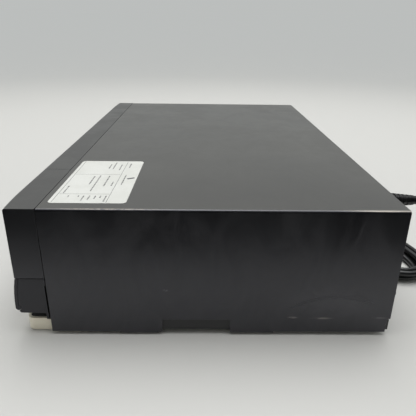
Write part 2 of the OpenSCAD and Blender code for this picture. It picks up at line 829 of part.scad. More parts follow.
module key_board() {
    color([0.1, 0.35, 0.2])
    difference() {
        union() {
            deep_block(-half_w + 4, -end_x - 4, key_board_depth, key_board_depth + board_t,
                upper_z + 3, slot_high + 2.5);
            for (i = [0, 2, 3, 4, 5]) tact_switch(button_at[i][1], button_at[i][2], key_board_depth);
        }
        for (p = key_boss_at) rod_y(p[0], front_y, front_y + 30, p[1], 1.2);
    }
}

module display_board() {
    color([0.1, 0.35, 0.2])
    difference() {
        union() {
            deep_block(eject_board[0], eject_board[1], key_board_depth, key_board_depth + board_t,
                slot_low + 1, slot_high - 1);
            deep_block(end_x + 4, half_w - 4, key_board_depth, key_board_depth + board_t,
                upper_z + 3, slot_high + 2.5);
            tact_switch(button_at[1][1], button_at[1][2], key_board_depth);
            deep_block(window_x0 + 4, window_x1 - 4, 3.2, 9, window_z0 + 2, window_z1 - 2);
            deep_block(window_x0 + 8, window_x1 - 8, 9 - eps, key_board_depth + eps,
                window_z0 + 4, window_z1 - 4);
        }
        for (p = display_boss_at) rod_y(p[0], front_y, front_y + 30, p[1], 1.2);
        for (p = eject_boss_at) rod_y(p[0], front_y, front_y + 30, p[1], 1.2);
    }
}

// Socket sleeve with its inner contact hole, pointing along -Y from y
module phono_socket(x, y, z, length) {
    difference() {
        rod_y(x, y, y + length, z, phono_r);
        rod_y(x, y - 1, y + length - 1.5, z, phono_r - 0.7);
    }
    difference() {
        rod_y(x, y + 0.8, y + length, z, phono_r - 1.2);
        rod_y(x, y - 1, y + length - 1.5, z, 1.65);
    }
}

module lower_key_board() {
    color([0.1, 0.35, 0.2]) {
        difference() {
            union() {
                deep_block(-half_w + 17, half_w - 17, lower_board_depth, lower_board_depth + board_t,
                    nose_z + 4, nose_top - 3.2);
                for (b = tray_button_at) tact_switch(b[1], tray_button_z, lower_board_depth);
            }
            for (p = lower_boss_at) rod_y(p[0], front_y, front_y + 30, p[1], 1.2);
        }
        for (x = tray_jack_x) {
            phono_socket(x, front_y + tray_depth + 0.4, tray_button_z, lower_board_depth - tray_depth - 0.4 + eps);
        }
    }
}

// ---------------------------------------------------------------- feet

module front_feet() {
    color([0.66, 0.64, 0.58])
    mirrored() translate([foot_x, front_y + foot_depth + foot_d / 2, band_z0])
        linear_extrude(band_z1 - band_z0) difference() {
            round_rect(foot_w, foot_d, foot_corner);
            round_rect(foot_w - 2 * band_t, foot_d - 2 * band_t, foot_corner - band_t);
        }
}

module front_foot_cores() {
    inner_w = foot_w - 2 * band_t;
    inner_d = foot_d - 2 * band_t;
    base_depth = chassis_front + 0.4;
    color([0.06, 0.06, 0.06])
    mirrored() {
        translate([foot_x, front_y + foot_depth + foot_d / 2, 0.8])
            linear_extrude(band_z1 - 1.2) round_rect(inner_w - 0.1, inner_d - 0.1, foot_corner - band_t);
        translate([foot_x, front_y + foot_depth + foot_d / 2, 0])
            linear_extrude(1) round_rect(inner_w - 14, inner_d - 12, foot_corner - band_t);
        deep_block(foot_x - inner_w / 2 + 4, foot_x + inner_w / 2 - 4, base_depth,
            foot_depth + foot_d - band_t - 4, 2, foot_h);
    }
}

module rear_feet() {
    color([0.06, 0.06, 0.06])
    mirrored() translate([rear_foot_x, rear_foot_y, 0]) difference() {
        union() {
            cylinder(r1 = rear_foot_r - 1, r2 = rear_foot_r, h = 2);
            translate([0, 0, 2 - eps]) cylinder(r = rear_foot_r, h = foot_h - 2 + eps);
        }
        translate([0, 0, -1]) cylinder(r = 3.5, h = 5);
    }
}

// ---------------------------------------------------------------- boards and boxes

module main_board() {
    y1 = rear_face_y - 7.2;
    color([0.1, 0.35, 0.2])
    difference() {
        union() {
            block(main_x0, main_x1, front_y + 27, y1, board_z, board_top);
            for (i = [0:3]) deep_block(-92 + i * 30, -76 + i * 30, 60, 84, board_top - eps, board_top + 2.4);
            for (i = [0:2]) {
                deep_block(main_x0 + 10, main_x0 + 36, 70 + i * 34, 92 + i * 34, board_top - eps, board_top + 3);
            }
            for (i = [0:4]) rod_z(main_x0 + 52, 66 + i * 16, board_top - eps, board_top + 12, 4);
            deep_block(-108, -60, 44, 50, board_top - eps, board_top + 7);
        }
        for (p = post_at) rod_z(p[0], p[1], board_z - 1, board_top + 1, post_r + 0.5);
        for (p = standoffs) rod_z(p[0], p[1], board_z - 1, board_top + 1, 1.2);
    }
}

module power_supply() {
    top = psu_z + board_t;
    mid = (psu_x0 + psu_x1) / 2;
    color([0.55, 0.42, 0.2])
    difference() {
        union() {
            block(psu_x0, psu_x1, psu_y0, psu_y1, psu_z, top);
            block(mid - 22, mid + 22, psu_y0 + 40, psu_y0 + 78, top - eps, top + 34);
            block(mid - 14, mid + 14, psu_y0 + 34, psu_y0 + 84, top - eps, top + 26);
            for (i = [0.19, 0.452, 0.714]) {
                translate([psu_x0 + (psu_x1 - psu_x0) * i, psu_y0 + 18, top - eps]) cylinder(r = 8, h = 26);
            }
            block(psu_x0 + 6, psu_x0 + 9, psu_y0 + 30, psu_y0 + 100, top - eps, top + 30);
            block(mid - 12, mid + 12, psu_y1 - 36, psu_y1 - 28, top - eps, top + 10);
            translate([mid + 26, psu_y1 - 30, top - eps]) cylinder(r = 6, h = 18);
            block(mid - 9, mid + 9, psu_y1 - 16, psu_y1 - 6, top - eps, top + 14);
        }
        for (x = [psu_x0 + 6, psu_x1 - 6], y = [psu_y0 + 6, psu_y1 - 6]) {
            translate([x, y, psu_z - 1]) cylinder(r = 1.2, h = board_t + 2);
        }
    }
}

module aerial_socket(z) {
    difference() {
        union() {
            rod_y(aerial_x, tuner_y1 - eps, rear_y, z, aerial_boss_r);
            rod_y(aerial_x, rear_y - eps, rear_y + jack_out, z, aerial_r);
        }
        rod_y(aerial_x, rear_y + 2, rear_y + jack_out + 1, z, 3.4);
    }
    difference() {
        rod_y(aerial_x, rear_y + 1, rear_y + jack_out - 0.4, z, 2.8);
        rod_y(aerial_x, rear_y + 2, rear_y + jack_out + 1, z, 0.6);
    }
}

module tuner_box() {
    color([0.72, 0.72, 0.74]) {
        difference() {
            block(tuner_x0, tuner_x1, tuner_y0, tuner_y1, board_top, board_top + tuner_h);
            for (i = [0:2]) {
                block(tuner_x0 + 8 + i * 13, tuner_x0 + 15 + i * 13, tuner_y0 + 14, tuner_y0 + 20,
                    board_top + tuner_h - 1, board_top + tuner_h + 1);
            }
        }
        for (z = aerial_z) aerial_socket(z);
    }
}

module rear_jacks() {
    color([0.08, 0.08, 0.08]) {
        block(phono_x[0] - 8, phono_x[1] + 8, rear_face_y - 13, rear_face_y - 0.2,
            board_top, phono_z[2] + 7);
        for (x = phono_x, z = phono_z) {
            difference() {
                union() {
                    rod_y(x, rear_face_y - 1, rear_y, z, phono_boss_r);
                    rod_y(x, rear_y - eps, rear_y + jack_out, z, phono_r);
                }
                rod_y(x, rear_y + 0.5, rear_y + jack_out + 1, z, phono_r - 0.7);
            }
            difference() {
                rod_y(x, rear_y, rear_y + jack_out - 0.8, z, phono_r - 1.2);
                rod_y(x, rear_y + 1.5, rear_y + jack_out, z, 1.65);
            }
        }
    }
}

// ---------------------------------------------------------------- tape deck

// Straight slot in plan, with round ends
module plan_slot(a, b, w, z0, z1) {
    run = norm(b - a);
    translate([a[0], front_y + a[1], z0]) rotate(atan2(b[1] - a[1], b[0] - a[0])) linear_extrude(z1 - z0) {
        translate([0, -w / 2]) square([run, w]);
        for (x = [0, run]) translate([x, 0]) circle(r = w / 2);
    }
}

module guide_slots() {
    ahead = keel_half * unit(guide_to - guide_from);
    mirrored() plan_slot(guide_from - ahead, guide_to + ahead, guide_slot_w + 2 * fit,
        deck_z - 1, deck_top + 1);
}

bearing_r = 5;
bearing_top = deck_top + 12;
idler_slot_r = 4;

module deck_plate() {
    color([0.62, 0.63, 0.65])
    difference() {
        union() {
            deep_block(-deck_half, deck_half, deck_front, deck_rear, deck_z, deck_top);
            mirrored() deep_block(deck_half - 1.2, deck_half, deck_front + 40, 178,
                deck_z - 7 * lift_share, deck_z + eps);
            for (s = [-1, 1]) rod_z(s * reel_pitch / 2, reel_depth, deck_top - eps, deck_top + 1, 5);
            for (s = [-1, 1]) rod_z(s * reel_pitch / 2, reel_depth, deck_top, deck_top + 8, reel_shaft_r);
            rod_z(capstan_x, capstan_depth, deck_z - 2 * lift_share, bearing_top, bearing_r);
            rod_z(pinch_pivot[0], pinch_pivot[1], deck_top - eps, deck_top + 9, 2);
            rod_z(tension_pivot[0], tension_pivot[1], deck_top - eps, deck_top + 6, 1.5);
            rod_z(cam_at[0], cam_at[1], deck_top - eps, deck_top + 9, 2);
            rod_z(idler_pivot[0], idler_pivot[1], deck_top - eps, deck_top + 5.5, 1.5);
            for (x = [-78, 78], d = [52, 120]) rod_z(x, d, deck_top - eps, cassette_low_z, 2.5);
            deep_block(worm_x - motor_r, worm_x + motor_r, motor_depth, motor_depth + 1.2,
                deck_z, motor_z + motor_r);
        }
        rod_z(0, drum_depth, deck_z - 1, deck_top + 1, drum_hole_r);
        guide_slots();
        rod_z(capstan_x, capstan_depth, deck_z - 5, bearing_top + 1, capstan_d / 2 + bearing_gap);
        deep_block(-deck_half - 20, worm_x + motor_r + 1, motor_depth + 1.2, deck_rear + 1,
            deck_z - 1, deck_top + 1);
        rod_y(worm_x, front_y + motor_depth - 1, front_y + motor_depth + 2, motor_z, 1.5 + 0.3);
        for (p = post_at) rod_z(p[0], p[1], deck_z - 1, deck_top + 1, screw_r + bearing_gap);
        for (x = [-24, 24]) deep_block(x - 12, x + 12, 34, 48, deck_z - 1, deck_top + 1);
    }
}

module deck_screws() {
    color([0.8, 0.8, 0.82])
    for (p = post_at) difference() {
        union() {
            rod_z(p[0], p[1], deck_z - 7 * lift_share, deck_top + eps, screw_r);
            rod_z(p[0], p[1], deck_top, deck_top + 2, 3.2);
        }
        deep_block(p[0] - 2, p[0] + 2, p[1] - 0.4, p[1] + 0.4, deck_top + 1, deck_top + 3);
        deep_block(p[0] - 0.4, p[0] + 0.4, p[1] - 2, p[1] + 2, deck_top + 1, deck_top + 3);
    }
}

drum_r = drum_d / 2;
drum_low_h = 18;
drum_gap = 0.3;
drum_up_h = 17.5;
drum_shaft_r = 3;

module at_drum() {
    translate([0, front_y + drum_depth, drum_origin_z]) rotate([0, drum_tilt, 0]) children();
}

module drum_base() {
    color([0.74, 0.75, 0.77])
    difference() {
        union() {
            rod_z(0, drum_depth, deck_top, deck_top + 3, drum_hole_r + 7);
            at_drum() {
                cylinder(r = drum_r, h = drum_low_h, $fn = 96);
                translate([0, 0, -6]) cylinder(r = 23, h = 10);
            }
        }
        at_drum() {
            translate([0, 0, -10]) cylinder(r = drum_shaft_r + bearing_gap, h = 60);
            translate([0, 0, drum_low_h - 7]) difference() {
                cylinder(r = drum_r - 3, h = 10);
                translate([0, 0, -1]) cylinder(r = 9, h = 20);
            }
        }
    }
}

module drum_rotor() {
    color([0.84, 0.85, 0.87])
    at_drum() {
        difference() {
            translate([0, 0, drum_low_h + drum_gap]) cylinder(r = drum_r, h = drum_up_h, $fn = 96);
            for (a = [0:90:270]) rotate(a) translate([drum_r - 3, -2.5, drum_low_h]) cube([8, 5, 3.2]);
            translate([0, 0, drum_low_h + drum_up_h - 3]) difference() {
                cylinder(r = drum_r - 4, h = 10);
                translate([0, 0, -1]) cylinder(r = 12, h = 20);
            }
            for (a = [45:90:315]) rotate(a) {
                translate([20, 0, drum_low_h - 1]) cylinder(r = 3, h = drum_up_h);
            }
        }
        translate([0, 0, -15]) cylinder(r = drum_shaft_r, h = drum_low_h + 16);
        translate([0, 0, -14]) cylinder(r = 21, h = 7);
        translate([0, 0, drum_low_h + drum_up_h]) cylinder(r = 8, h = 2);
    }
}

module capstan() {
    color([0.8, 0.8, 0.82]) {
        rod_z(capstan_x, capstan_depth, board_top + 4.5 * lift_share, deck_top + 32, capstan_d / 2);
        difference() {
            rod_z(capstan_x, capstan_depth, board_top + 6.8 * lift_share, board_top + 12 * lift_share, rotor_r);
            rod_z(capstan_x, capstan_depth, board_top + 6 * lift_share, board_top + 10.5 * lift_share,
                rotor_r - 2);
        }
        rod_z(capstan_x, capstan_depth, board_top + 10 * lift_share, board_top + 12.6 * lift_share, 8);
    }
}

stator_top = board_top + 3 * lift_share;

module capstan_stator() {
    color([0.12, 0.3, 0.2]) {
        difference() {
            union() {
                deep_block(capstan_x - 28, capstan_x + 34, capstan_depth - 28, capstan_depth + 28,
                    board_top + 1.2 * lift_share, stator_top);
                for (a = [0:60:300]) translate([capstan_x, front_y + capstan_depth, stator_top - eps])
                    rotate(a) translate([13, 0, 0]) cylinder(r = 4.6, h = 3.4 * lift_share);
                for (a = [-1, 1]) rod_z(capstan_x + 31, capstan_depth + a * 24, stator_top - eps, deck_z, 2);
                for (a = [-1, 1]) rod_z(capstan_x - 9, capstan_depth + a * 26, stator_top - eps, deck_z, 1.6);
            }
            rod_z(capstan_x, capstan_depth, board_top, stator_top + 1, capstan_d / 2 + 1);
        }
    }
}

pinch_arm_z = deck_top + 2.5;
roller_z0 = deck_top + 13.4;
roller_h = 14;

module pinch_arm() {
    color([0.7, 0.71, 0.72])
    difference() {
        union() {
            rod_z(pinch_pivot[0], pinch_pivot[1], deck_top + 0.3, pinch_arm_z + 4, 4);
            plan_slot(pinch_pivot, pinch_at, 7, pinch_arm_z, pinch_arm_z + 4);
            rod_z(pinch_at[0], pinch_at[1], pinch_arm_z + 3, roller_z0 - 0.3, 3);
            rod_z(pinch_at[0], pinch_at[1], pinch_arm_z + 3, roller_z0 + roller_h + 1, 1.5);
            rod_z(pinch_at[0], pinch_at[1], roller_z0 + roller_h + 0.3, roller_z0 + roller_h + 1.3, 2.6);
        }
        rod_z(pinch_pivot[0], pinch_pivot[1], deck_top, pinch_arm_z + 5, 2 + bearing_gap);
    }
}

module pinch_roller() {
    color([0.08, 0.08, 0.08])
    difference() {
        rod_z(pinch_at[0], pinch_at[1], roller_z0, roller_z0 + roller_h, pinch_d / 2);
        rod_z(pinch_at[0], pinch_at[1], roller_z0 - 1, roller_z0 + roller_h + 1, 1.5 + bearing_gap);
    }
}

module reel(x) {
    z = deck_top + 1.3;
    difference() {
        union() {
            rod_z(x, reel_depth, z, z + 3, reel_r);
            rod_z(x, reel_depth, z + 2, z + 6.8, reel_r - 5);
            rod_z(x, reel_depth, z + 6, z + 9, 7.5);
            rod_z(x, reel_depth, z + 6, z + 18, 5);
            translate([x, front_y + reel_depth, z + 18 - eps]) cylinder(r1 = 5, r2 = 2.5, h = 2.5);
            for (a = [0:60:300]) translate([x, front_y + reel_depth, z + 8]) rotate(a)
                translate([4, -0.9, 0]) cube([3, 1.8, 7]);
        }
        rod_z(x, reel_depth, z - 1, z + 9, reel_shaft_r + bearing_gap);
        for (a = [0:60:300]) translate([x, front_y + reel_depth, z - 1]) rotate(a)
            translate([11.5, 0, 0]) cylinder(r = 2, h = 20);
    }
}

module supply_reel() {
    color([0.15, 0.15, 0.16]) reel(-reel_pitch / 2);
}

module takeup_reel() {
    color([0.15, 0.15, 0.16]) reel(reel_pitch / 2);
}

idler_at = [idler_pivot[0], idler_pivot[1] + idler_len];
idler_arm_z = deck_top + 0.3;
idler_gear_z = idler_arm_z + 1.8;

module idler_arm() {
    color([0.82, 0.8, 0.7])
    difference() {
        union() {
            plan_slot(idler_pivot, idler_at, 7, idler_arm_z, idler_arm_z + 1.5);
            rod_z(idler_pivot[0], idler_pivot[1], idler_arm_z, idler_arm_z + 4, 3.5);
            rod_z(idler_at[0], idler_at[1], idler_arm_z, idler_gear_z + 4.4, 1.5);
        }
        rod_z(idler_pivot[0], idler_pivot[1], deck_top, idler_arm_z + 5, 1.5 + bearing_gap);
    }
}

module idler_gear() {
    color([0.9, 0.88, 0.82])
    translate([idler_at[0], front_y + idler_at[1], idler_gear_z]) difference() {
        union() {
            linear_extrude(3) gear_outline(idler_teeth, idler_module);
            cylinder(r = 5, h = 4);
        }
        translate([0, 0, -1]) cylinder(r = 1.5 + bearing_gap, h = 7);
    }
}

tension_pin = [tension_pivot[0] + tension_len * cos(80), tension_pivot[1] + tension_len * sin(80)];

module tension_arm() {
    color([0.75, 0.75, 0.77])
    difference() {
        union() {
            plan_slot(tension_pivot, tension_pin, 5, deck_top + 2, deck_top + 3.2);
            rod_z(tension_pivot[0], tension_pivot[1], deck_top + 0.3, deck_top + 4, 3);
            rod_z(tension_pin[0], tension_pin[1], deck_top + 2, deck_top + 30, 1.5);
            rod_z(tension_pin[0], tension_pin[1], deck_top + 29, deck_top + 31, 2.6);
        }
        rod_z(tension_pivot[0], tension_pivot[1], deck_top, deck_top + 5, 1.5 + bearing_gap);
    }
}

// A tape guide carrier: base, keel in the deck's slot, foot below it, roller and slanted post
module guide_carrier() {
    base_z = deck_top + fit;
    translate([guide_from[0], front_y + guide_from[1], 0]) rotate(guide_angle) {
        translate([-8, -6, base_z]) cube([16, 12, 3.4]);
        translate([0, 0, deck_z - fit - 0.1]) linear_extrude(deck_t + 2 * fit + 0.2) {
            square([2 * keel_half, guide_slot_w], center = true);
            for (x = [-keel_half, keel_half]) translate([x, 0]) circle(r = guide_slot_w / 2);
        }
        translate([-6, -5, deck_z - fit - 1.6]) cube([12, 10, 1.6]);
        translate([3, 0, base_z + 3]) cylinder(r = 1.6, h = 28);
        translate([3, 0, base_z + 5]) cylinder(r = 3.4, h = 18);
        for (z = [4.4, 23]) translate([3, 0, base_z + z]) cylinder(r = 4.4, h = 1.2);
        translate([-4, 0, base_z + 3]) rotate([0, -14, 0]) cylinder(r = 1.5, h = 24);
    }
}

module takeup_guide() {
    color([0.8, 0.8, 0.82]) guide_carrier();
}

module supply_guide() {
    color([0.8, 0.8, 0.82]) mirror([1, 0, 0]) guide_carrier();
}

module loading_motor() {
    y0 = front_y + motor_depth + 1.2;
    color([0.68, 0.68, 0.7]) {
        difference() {
            rod_y(worm_x, y0, y0 + motor_len, motor_z, motor_r);
            for (s = [-1, 1]) translate([worm_x, y0 - 1, motor_z + s * (motor_r + 3.5)])
                translate([-motor_r, 0, -5]) cube([2 * motor_r, motor_len + 2, 10]);
            rod_y(worm_x, y0 - 1, y0 + 9, motor_z, 1 + bearing_gap);
        }
        rod_y(worm_x, y0 + motor_len - eps, y0 + motor_len + 1.6, motor_z, 4);
    }
}

worm_len = 22;

module loading_worm() {
    y1 = front_y + motor_depth - 1.5;
    color([0.9, 0.88, 0.82])
    union() {
        rod_y(worm_x, y1 - worm_len, y1, motor_z, worm_r - 1);
        for (i = [0:7]) translate([worm_x, y1 - 1.2 - i * 2.51, motor_z]) rotate([90, 0, 0]) {
            cylinder(r1 = worm_r - 1.05, r2 = worm_r, h = 0.6);
            translate([0, 0, 0.59]) cylinder(r1 = worm_r, r2 = worm_r - 1.05, h = 0.6);
        }
        rod_y(worm_x, y1 - eps, y1 + 10.5, motor_z, 1);
    }
}

module mode_cam() {
    z = deck_top + 0.4;
    color([0.88, 0.86, 0.8])
    difference() {
        union() {
            translate([cam_at[0], front_y + cam_at[1], z + 1.2]) linear_extrude(5)
                gear_outline(cam_teeth, cam_module);
            rod_z(cam_at[0], cam_at[1], z, z + 8, 4.5);
        }
        rod_z(cam_at[0], cam_at[1], z - 1, z + 10, 2 + bearing_gap);
        translate([cam_at[0], front_y + cam_at[1], z + 4]) difference() {
            translate([1.8, 0, 0]) cylinder(r = 11.5, h = 5);
            translate([1.2, 0, -1]) cylinder(r = 8.2, h = 7);
        }
    }
}

module erase_head() {
    color([0.35, 0.33, 0.3]) {
        deep_block(-70, -58, drum_depth - 24, drum_depth - 12, deck_top, deck_top + 3);
        deep_block(-69, -60, drum_depth - 22, drum_depth - 14, deck_top + 3 - eps, deck_top + 26);
        rod_z(-60, drum_depth - 18, deck_top + 3, deck_top + 26, 3);
    }
}

module sound_head() {
    color([0.7, 0.68, 0.6]) {
        deep_block(58, 74, drum_depth - 24, drum_depth - 8, deck_top, deck_top + 1.6);
        for (x = [60, 72]) rod_z(x, drum_depth - 10, deck_top + 1.5, deck_top + 6, 1.4);
        deep_block(60, 71, drum_depth - 22, drum_depth - 12, deck_top + 1.6 - eps, deck_top + 27);
        rod_z(60.5, drum_depth - 17, deck_top + 5, deck_top + 25, 2.6);
    }
}

// ---------------------------------------------------------------- loader

module loader_frame() {
    window_low = loader_pin_z - travel_down - loader_pin_r - 2;
    window_top = loader_pin_z + loader_pin_r + 2;
    color([0.66, 0.67, 0.69]) {
        mirrored() difference() {
            union() {
                along_x(frame_x, frame_x + frame_t) polygon([[frame_front, deck_top], [frame_front, frame_top - 8],
                    [frame_front + 8, frame_top], [frame_rear - 16, frame_top], [frame_rear, frame_top - 14],
                    [frame_rear, deck_top]]);
                deep_block(frame_x, frame_x + 8, frame_front + 20, frame_rear - 30, deck_top, deck_top + 1.2);
            }
            deep_block(frame_x - 1, frame_x + frame_t + 1, loader_pins[0] - 5, loader_pins[1] + travel_in + 5,
                window_low, window_top);
        }
        deep_block(-frame_x - frame_t, frame_x + frame_t, frame_front + 18, frame_front + 34,
            frame_top - eps, frame_top + 1);
    }
}

slider_d0 = holder_rear - 42;
slider_d1 = holder_rear + 2;
slider_low = loader_pin_z - travel_down - 5;
slider_top = slot_high - 0.5;

module loader_slider() {
    color([0.2, 0.2, 0.22]) {
        mirrored() difference() {
            deep_block(slider_x, slider_x + slider_t, slider_d0, slider_d1, slider_low, slider_top);
            for (d = loader_pins) {
                deep_block(slider_x - 1, slider_x + slider_t + 1, d - loader_pin_r - slot_play,
                    d + loader_pin_r + slot_play, loader_pin_z - travel_down - loader_pin_r - slot_play,
                    loader_pin_z + loader_pin_r + slot_play);
            }
        }
        deep_block(-slider_x - slider_t, slider_x + slider_t, slider_d1 - 10, slider_d1,
            slider_top - 1.2, slider_top);
    }
}

module cassette_holder() {
    low = cassette_z - holder_t - 0.15;
    top = cassette_z + cassette_h + 0.3;
    wall_out = holder_half + holder_t;
    color([0.6, 0.61, 0.63]) {
        mirrored() {
            along_x(holder_half, wall_out) polygon([[holder_front, low], [holder_rear, low],
                [holder_rear, top + holder_t], [holder_top_front, top + holder_t]]);
            deep_block(holder_half - holder_lip, wall_out, holder_front, holder_rear, low, low + holder_t);
            deep_block(holder_half - 5, wall_out, holder_rear - holder_t, holder_rear, low, top + holder_t);
            for (d = loader_pins) rod_x(wall_out - eps, frame_x + frame_t + 0.6, d, loader_pin_z, loader_pin_r);
        }
        difference() {
            deep_block(-wall_out, wall_out, holder_top_front, holder_rear, top, top + holder_t);
            for (x = [-45, 45]) deep_block(x - 16, x + 16, holder_top_front + 12, holder_rear - 10, top - 1, top + 3);
        }
    }
}

// ---------------------------------------------------------------- power cord

module strain_relief() {
    color([0.05, 0.05, 0.05])
    translate([relief_x, 0, relief_z]) rotate([-90, 0, 0]) {
        translate([0, 0, rear_face_y - 2]) cylinder(r = relief_hole_r + 1.4, h = 2);
        translate([0, 0, rear_face_y - eps]) cylinder(r = relief_hole_r - 0.2, h = rear_y - rear_face_y + 2 * eps);
        translate([0, 0, rear_in_y + eps]) cylinder(r = relief_hole_r + 1.4, h = 3);
        translate([0, 0, rear_in_y]) cylinder(r1 = 5, r2 = 3.2, h = relief_len + steel_t);
        for (i = [0:5]) translate([0, 0, rear_y + 4 + i * (relief_len - 5) / 6]) {
            cylinder(r1 = 5.4 - i * 0.3, r2 = 5.2 - i * 0.3, h = 1.8);
        }
    }
}

module power_cord() {
    color([0.04, 0.04, 0.04]) tube(cord_points, cord_r, 10);
}

// Place along one flat loop of the hank: share 0..1 round the loop, at radius r
function hank_flat(share, r) =
    let (h = hank_run / 2, draw = hank_waist)
    share < run_share ? let (t = share / run_share)
        [-h + hank_run * t, r - draw * (1 - cos(360 * t)) / 2] :
    share < 0.5 ? let (a = 180 * (share - run_share) / (0.5 - run_share))
        [h + r * sin(a), r * cos(a)] :
    share < 0.5 + run_share ? let (t = (share - 0.5) / run_share)
        [h - hank_run * t, -r + draw * (1 - cos(360 * t)) / 2] :
    let (a = 180 * (share - 0.5 - run_share) / (0.5 - run_share))
        [-h - r * sin(a), -r * cos(a)];

// Spirals in over the lower layer, climbs along a run, and spirals out over the upper one
function hank_point(s) =
    let (
        from_middle = s - hank_turns,
        turn = from_middle + run_share / 2 + 2 * hank_turns,
        flat = hank_flat(turn - floor(turn), hank_inner + hank_step * abs(from_middle)),
        climb = min(1, max(0, 0.5 + from_middle / run_share)))
    [hank_x - flat[0], hank_y + flat[1], hank_z + hank_layer * climb];

hank_first = -run_share / 2;
hank_last = 2 * hank_turns + run_share / 2;
hank_path = [for (i = [0:round((hank_last - hank_first) * hank_rings)])
    hank_point(hank_first + i / hank_rings)];
hank_start_pad = [hank_path[0] + [cord_d, 0, 0]];
hank_end_pad = [hank_path[len(hank_path) - 1] - [cord_d, 0, 0]];
hank_centre = concat(hank_start_pad, hank_path, hank_end_pad);
hank_gap = min([for (i = [0:len(hank_centre) - 1], j = [i + 8:1:len(hank_centre) - 1])
    norm(hank_centre[i] - hank_centre[j])]) - cord_d;
hank_length = [for (i = 1, s = 0; i <= len(hank_centre); i = i + 1,
    s = i <= len(hank_centre) ? s + norm(hank_centre[i - 1] - hank_centre[max(i - 2, 0)]) : s) s];

module cord_hank() {
    echo(least_gap = hank_gap, start = hank_centre[0], end = hank_centre[len(hank_centre) - 1],
        length = hank_length[len(hank_length) - 1]);
    color([0.04, 0.04, 0.04]) tube(hank_centre, cord_r, 6);
}

plug_z = hank_z + hank_layer;
plug_w = 22;
plug_t = 2 * plug_z - 0.2;
plug_len = 26;
boot_len = 16;
blade_gap = 12.7;

module plug() {
    end = hank_centre[len(hank_centre) - 1];
    color([0.05, 0.05, 0.05]) {
        translate(end) rotate([0, -90, 0]) cylinder(r1 = 3.3, r2 = 5.6, h = boot_len);
        translate([end[0] - boot_len - plug_len + eps, end[1], end[2]]) rotate([90, 0, 90])
            linear_extrude(plug_len) round_rect(plug_w, plug_t, 4);
    }
    color([0.75, 0.7, 0.5]) for (s = [-1, 1]) {
        block(end[0] - boot_len - plug_len - 16, end[0] - boot_len - plug_len + 1,
            end[1] + s * blade_gap / 2 - 0.8, end[1] + s * blade_gap / 2 + 0.8, end[2] - 3.2, end[2] + 3.2);
    }
}

module cord_tie() {
    tie_half = hank_inner + hank_step * (hank_turns + 0.1) - hank_waist + cord_r + 0.5;
    tie_top = hank_z + hank_layer + cord_r + 0.5;
    tie_low = hank_z - cord_r - 0.4;
    color([0.1, 0.1, 0.1])
    translate([hank_x - 4, hank_y, (tie_top + tie_low) / 2]) rotate([90, 0, 90]) linear_extrude(8) difference() {
        round_rect(2 * tie_half + 1.2, tie_top - tie_low + 1.2, 3);
        round_rect(2 * tie_half, tie_top - tie_low, 2.4);
    }
}

top_cover();
cover_screws();
base_chassis();
rear_panel();
front_panel();
front_end_left();
front_end_right();
lower_panel();
lower_flap();
cassette_door();
door_spring();
display_window();
display_board();
key_board();
lower_key_board();
upper_button(0);  // power_button
upper_button(1);  // eject_button
upper_button(2);  // rewind_button
upper_button(3);  // play_button
upper_button(4);  // forward_button
upper_button(5);  // stop_button
tray_button(0);  // record_button
tray_button(1);  // pause_button
tray_button(2);  // channel_down_button
tray_button(3);  // channel_up_button
front_feet();
front_foot_cores();
rear_feet();
main_board();
power_supply();
tuner_box();
rear_jacks();
deck_plate();
deck_screws();
drum_base();
drum_rotor();
capstan();
capstan_stator();
pinch_arm();
pinch_roller();
supply_reel();
takeup_reel();
idler_arm();
idler_gear();
tension_arm();
supply_guide();
takeup_guide();
loading_motor();
loading_worm();
mode_cam();
erase_head();
sound_head();
loader_frame();
loader_slider();
cassette_holder();
strain_relief();
power_cord();
cord_hank();
plug();
cord_tie();
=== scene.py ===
# %% [markdown]
# # A front-loading video cassette recorder
# The recorder's solids were made in CAD and packed as a fixed frame: sheet-steel cover, moulded front,
# keys, flap, tape deck, boards and feet. This lesson dresses them. The solids keep their shape, and get
# finishes built from shader nodes. Small visible things that CAD leaves plain are modelled here: the power
# lead as one soft curve, its plug, the paper label, the signs on the keys, the display's segments, and the
# sockets' coloured inserts and threads.

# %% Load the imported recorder
import json
import math
import random

import bmesh
import bpy
from mathutils import Matrix, Vector


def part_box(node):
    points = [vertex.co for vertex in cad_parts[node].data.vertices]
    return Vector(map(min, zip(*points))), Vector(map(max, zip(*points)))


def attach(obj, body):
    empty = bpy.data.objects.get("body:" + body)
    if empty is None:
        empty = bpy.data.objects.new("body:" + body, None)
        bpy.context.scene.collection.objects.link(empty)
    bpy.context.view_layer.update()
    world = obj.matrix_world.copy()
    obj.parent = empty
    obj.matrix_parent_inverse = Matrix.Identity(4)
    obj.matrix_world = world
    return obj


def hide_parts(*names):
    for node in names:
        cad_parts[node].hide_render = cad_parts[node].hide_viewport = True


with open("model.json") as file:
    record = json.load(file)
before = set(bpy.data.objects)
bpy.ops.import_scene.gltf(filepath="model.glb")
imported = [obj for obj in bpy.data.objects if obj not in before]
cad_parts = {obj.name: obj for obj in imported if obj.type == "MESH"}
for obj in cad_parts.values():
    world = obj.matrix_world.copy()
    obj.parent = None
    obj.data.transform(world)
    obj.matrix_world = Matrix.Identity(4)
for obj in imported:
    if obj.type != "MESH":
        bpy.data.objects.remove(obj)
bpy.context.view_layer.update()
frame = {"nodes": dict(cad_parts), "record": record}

MM = 0.001

# %% [markdown]
# ## The places that several steps need
# Depths on the recorder are told from the flat ends of its front panel, so one helper turns a depth in
# millimetres into the frame's metres. The cover's box gives the rear face and the top, and the casing's
# depth leads from the rear face to the front.

# %% Front, rear and top of the casing
CASING_DEPTH = 266.5
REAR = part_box("top_cover")[1].y / MM
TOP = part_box("top_cover")[1].z / MM
FRONT = round(REAR - CASING_DEPTH, 3)


def at(x, depth, height):
    """A point from millimetres across, behind the front panel's ends, and above the floor."""
    return Vector((x, FRONT + depth, height)) * MM


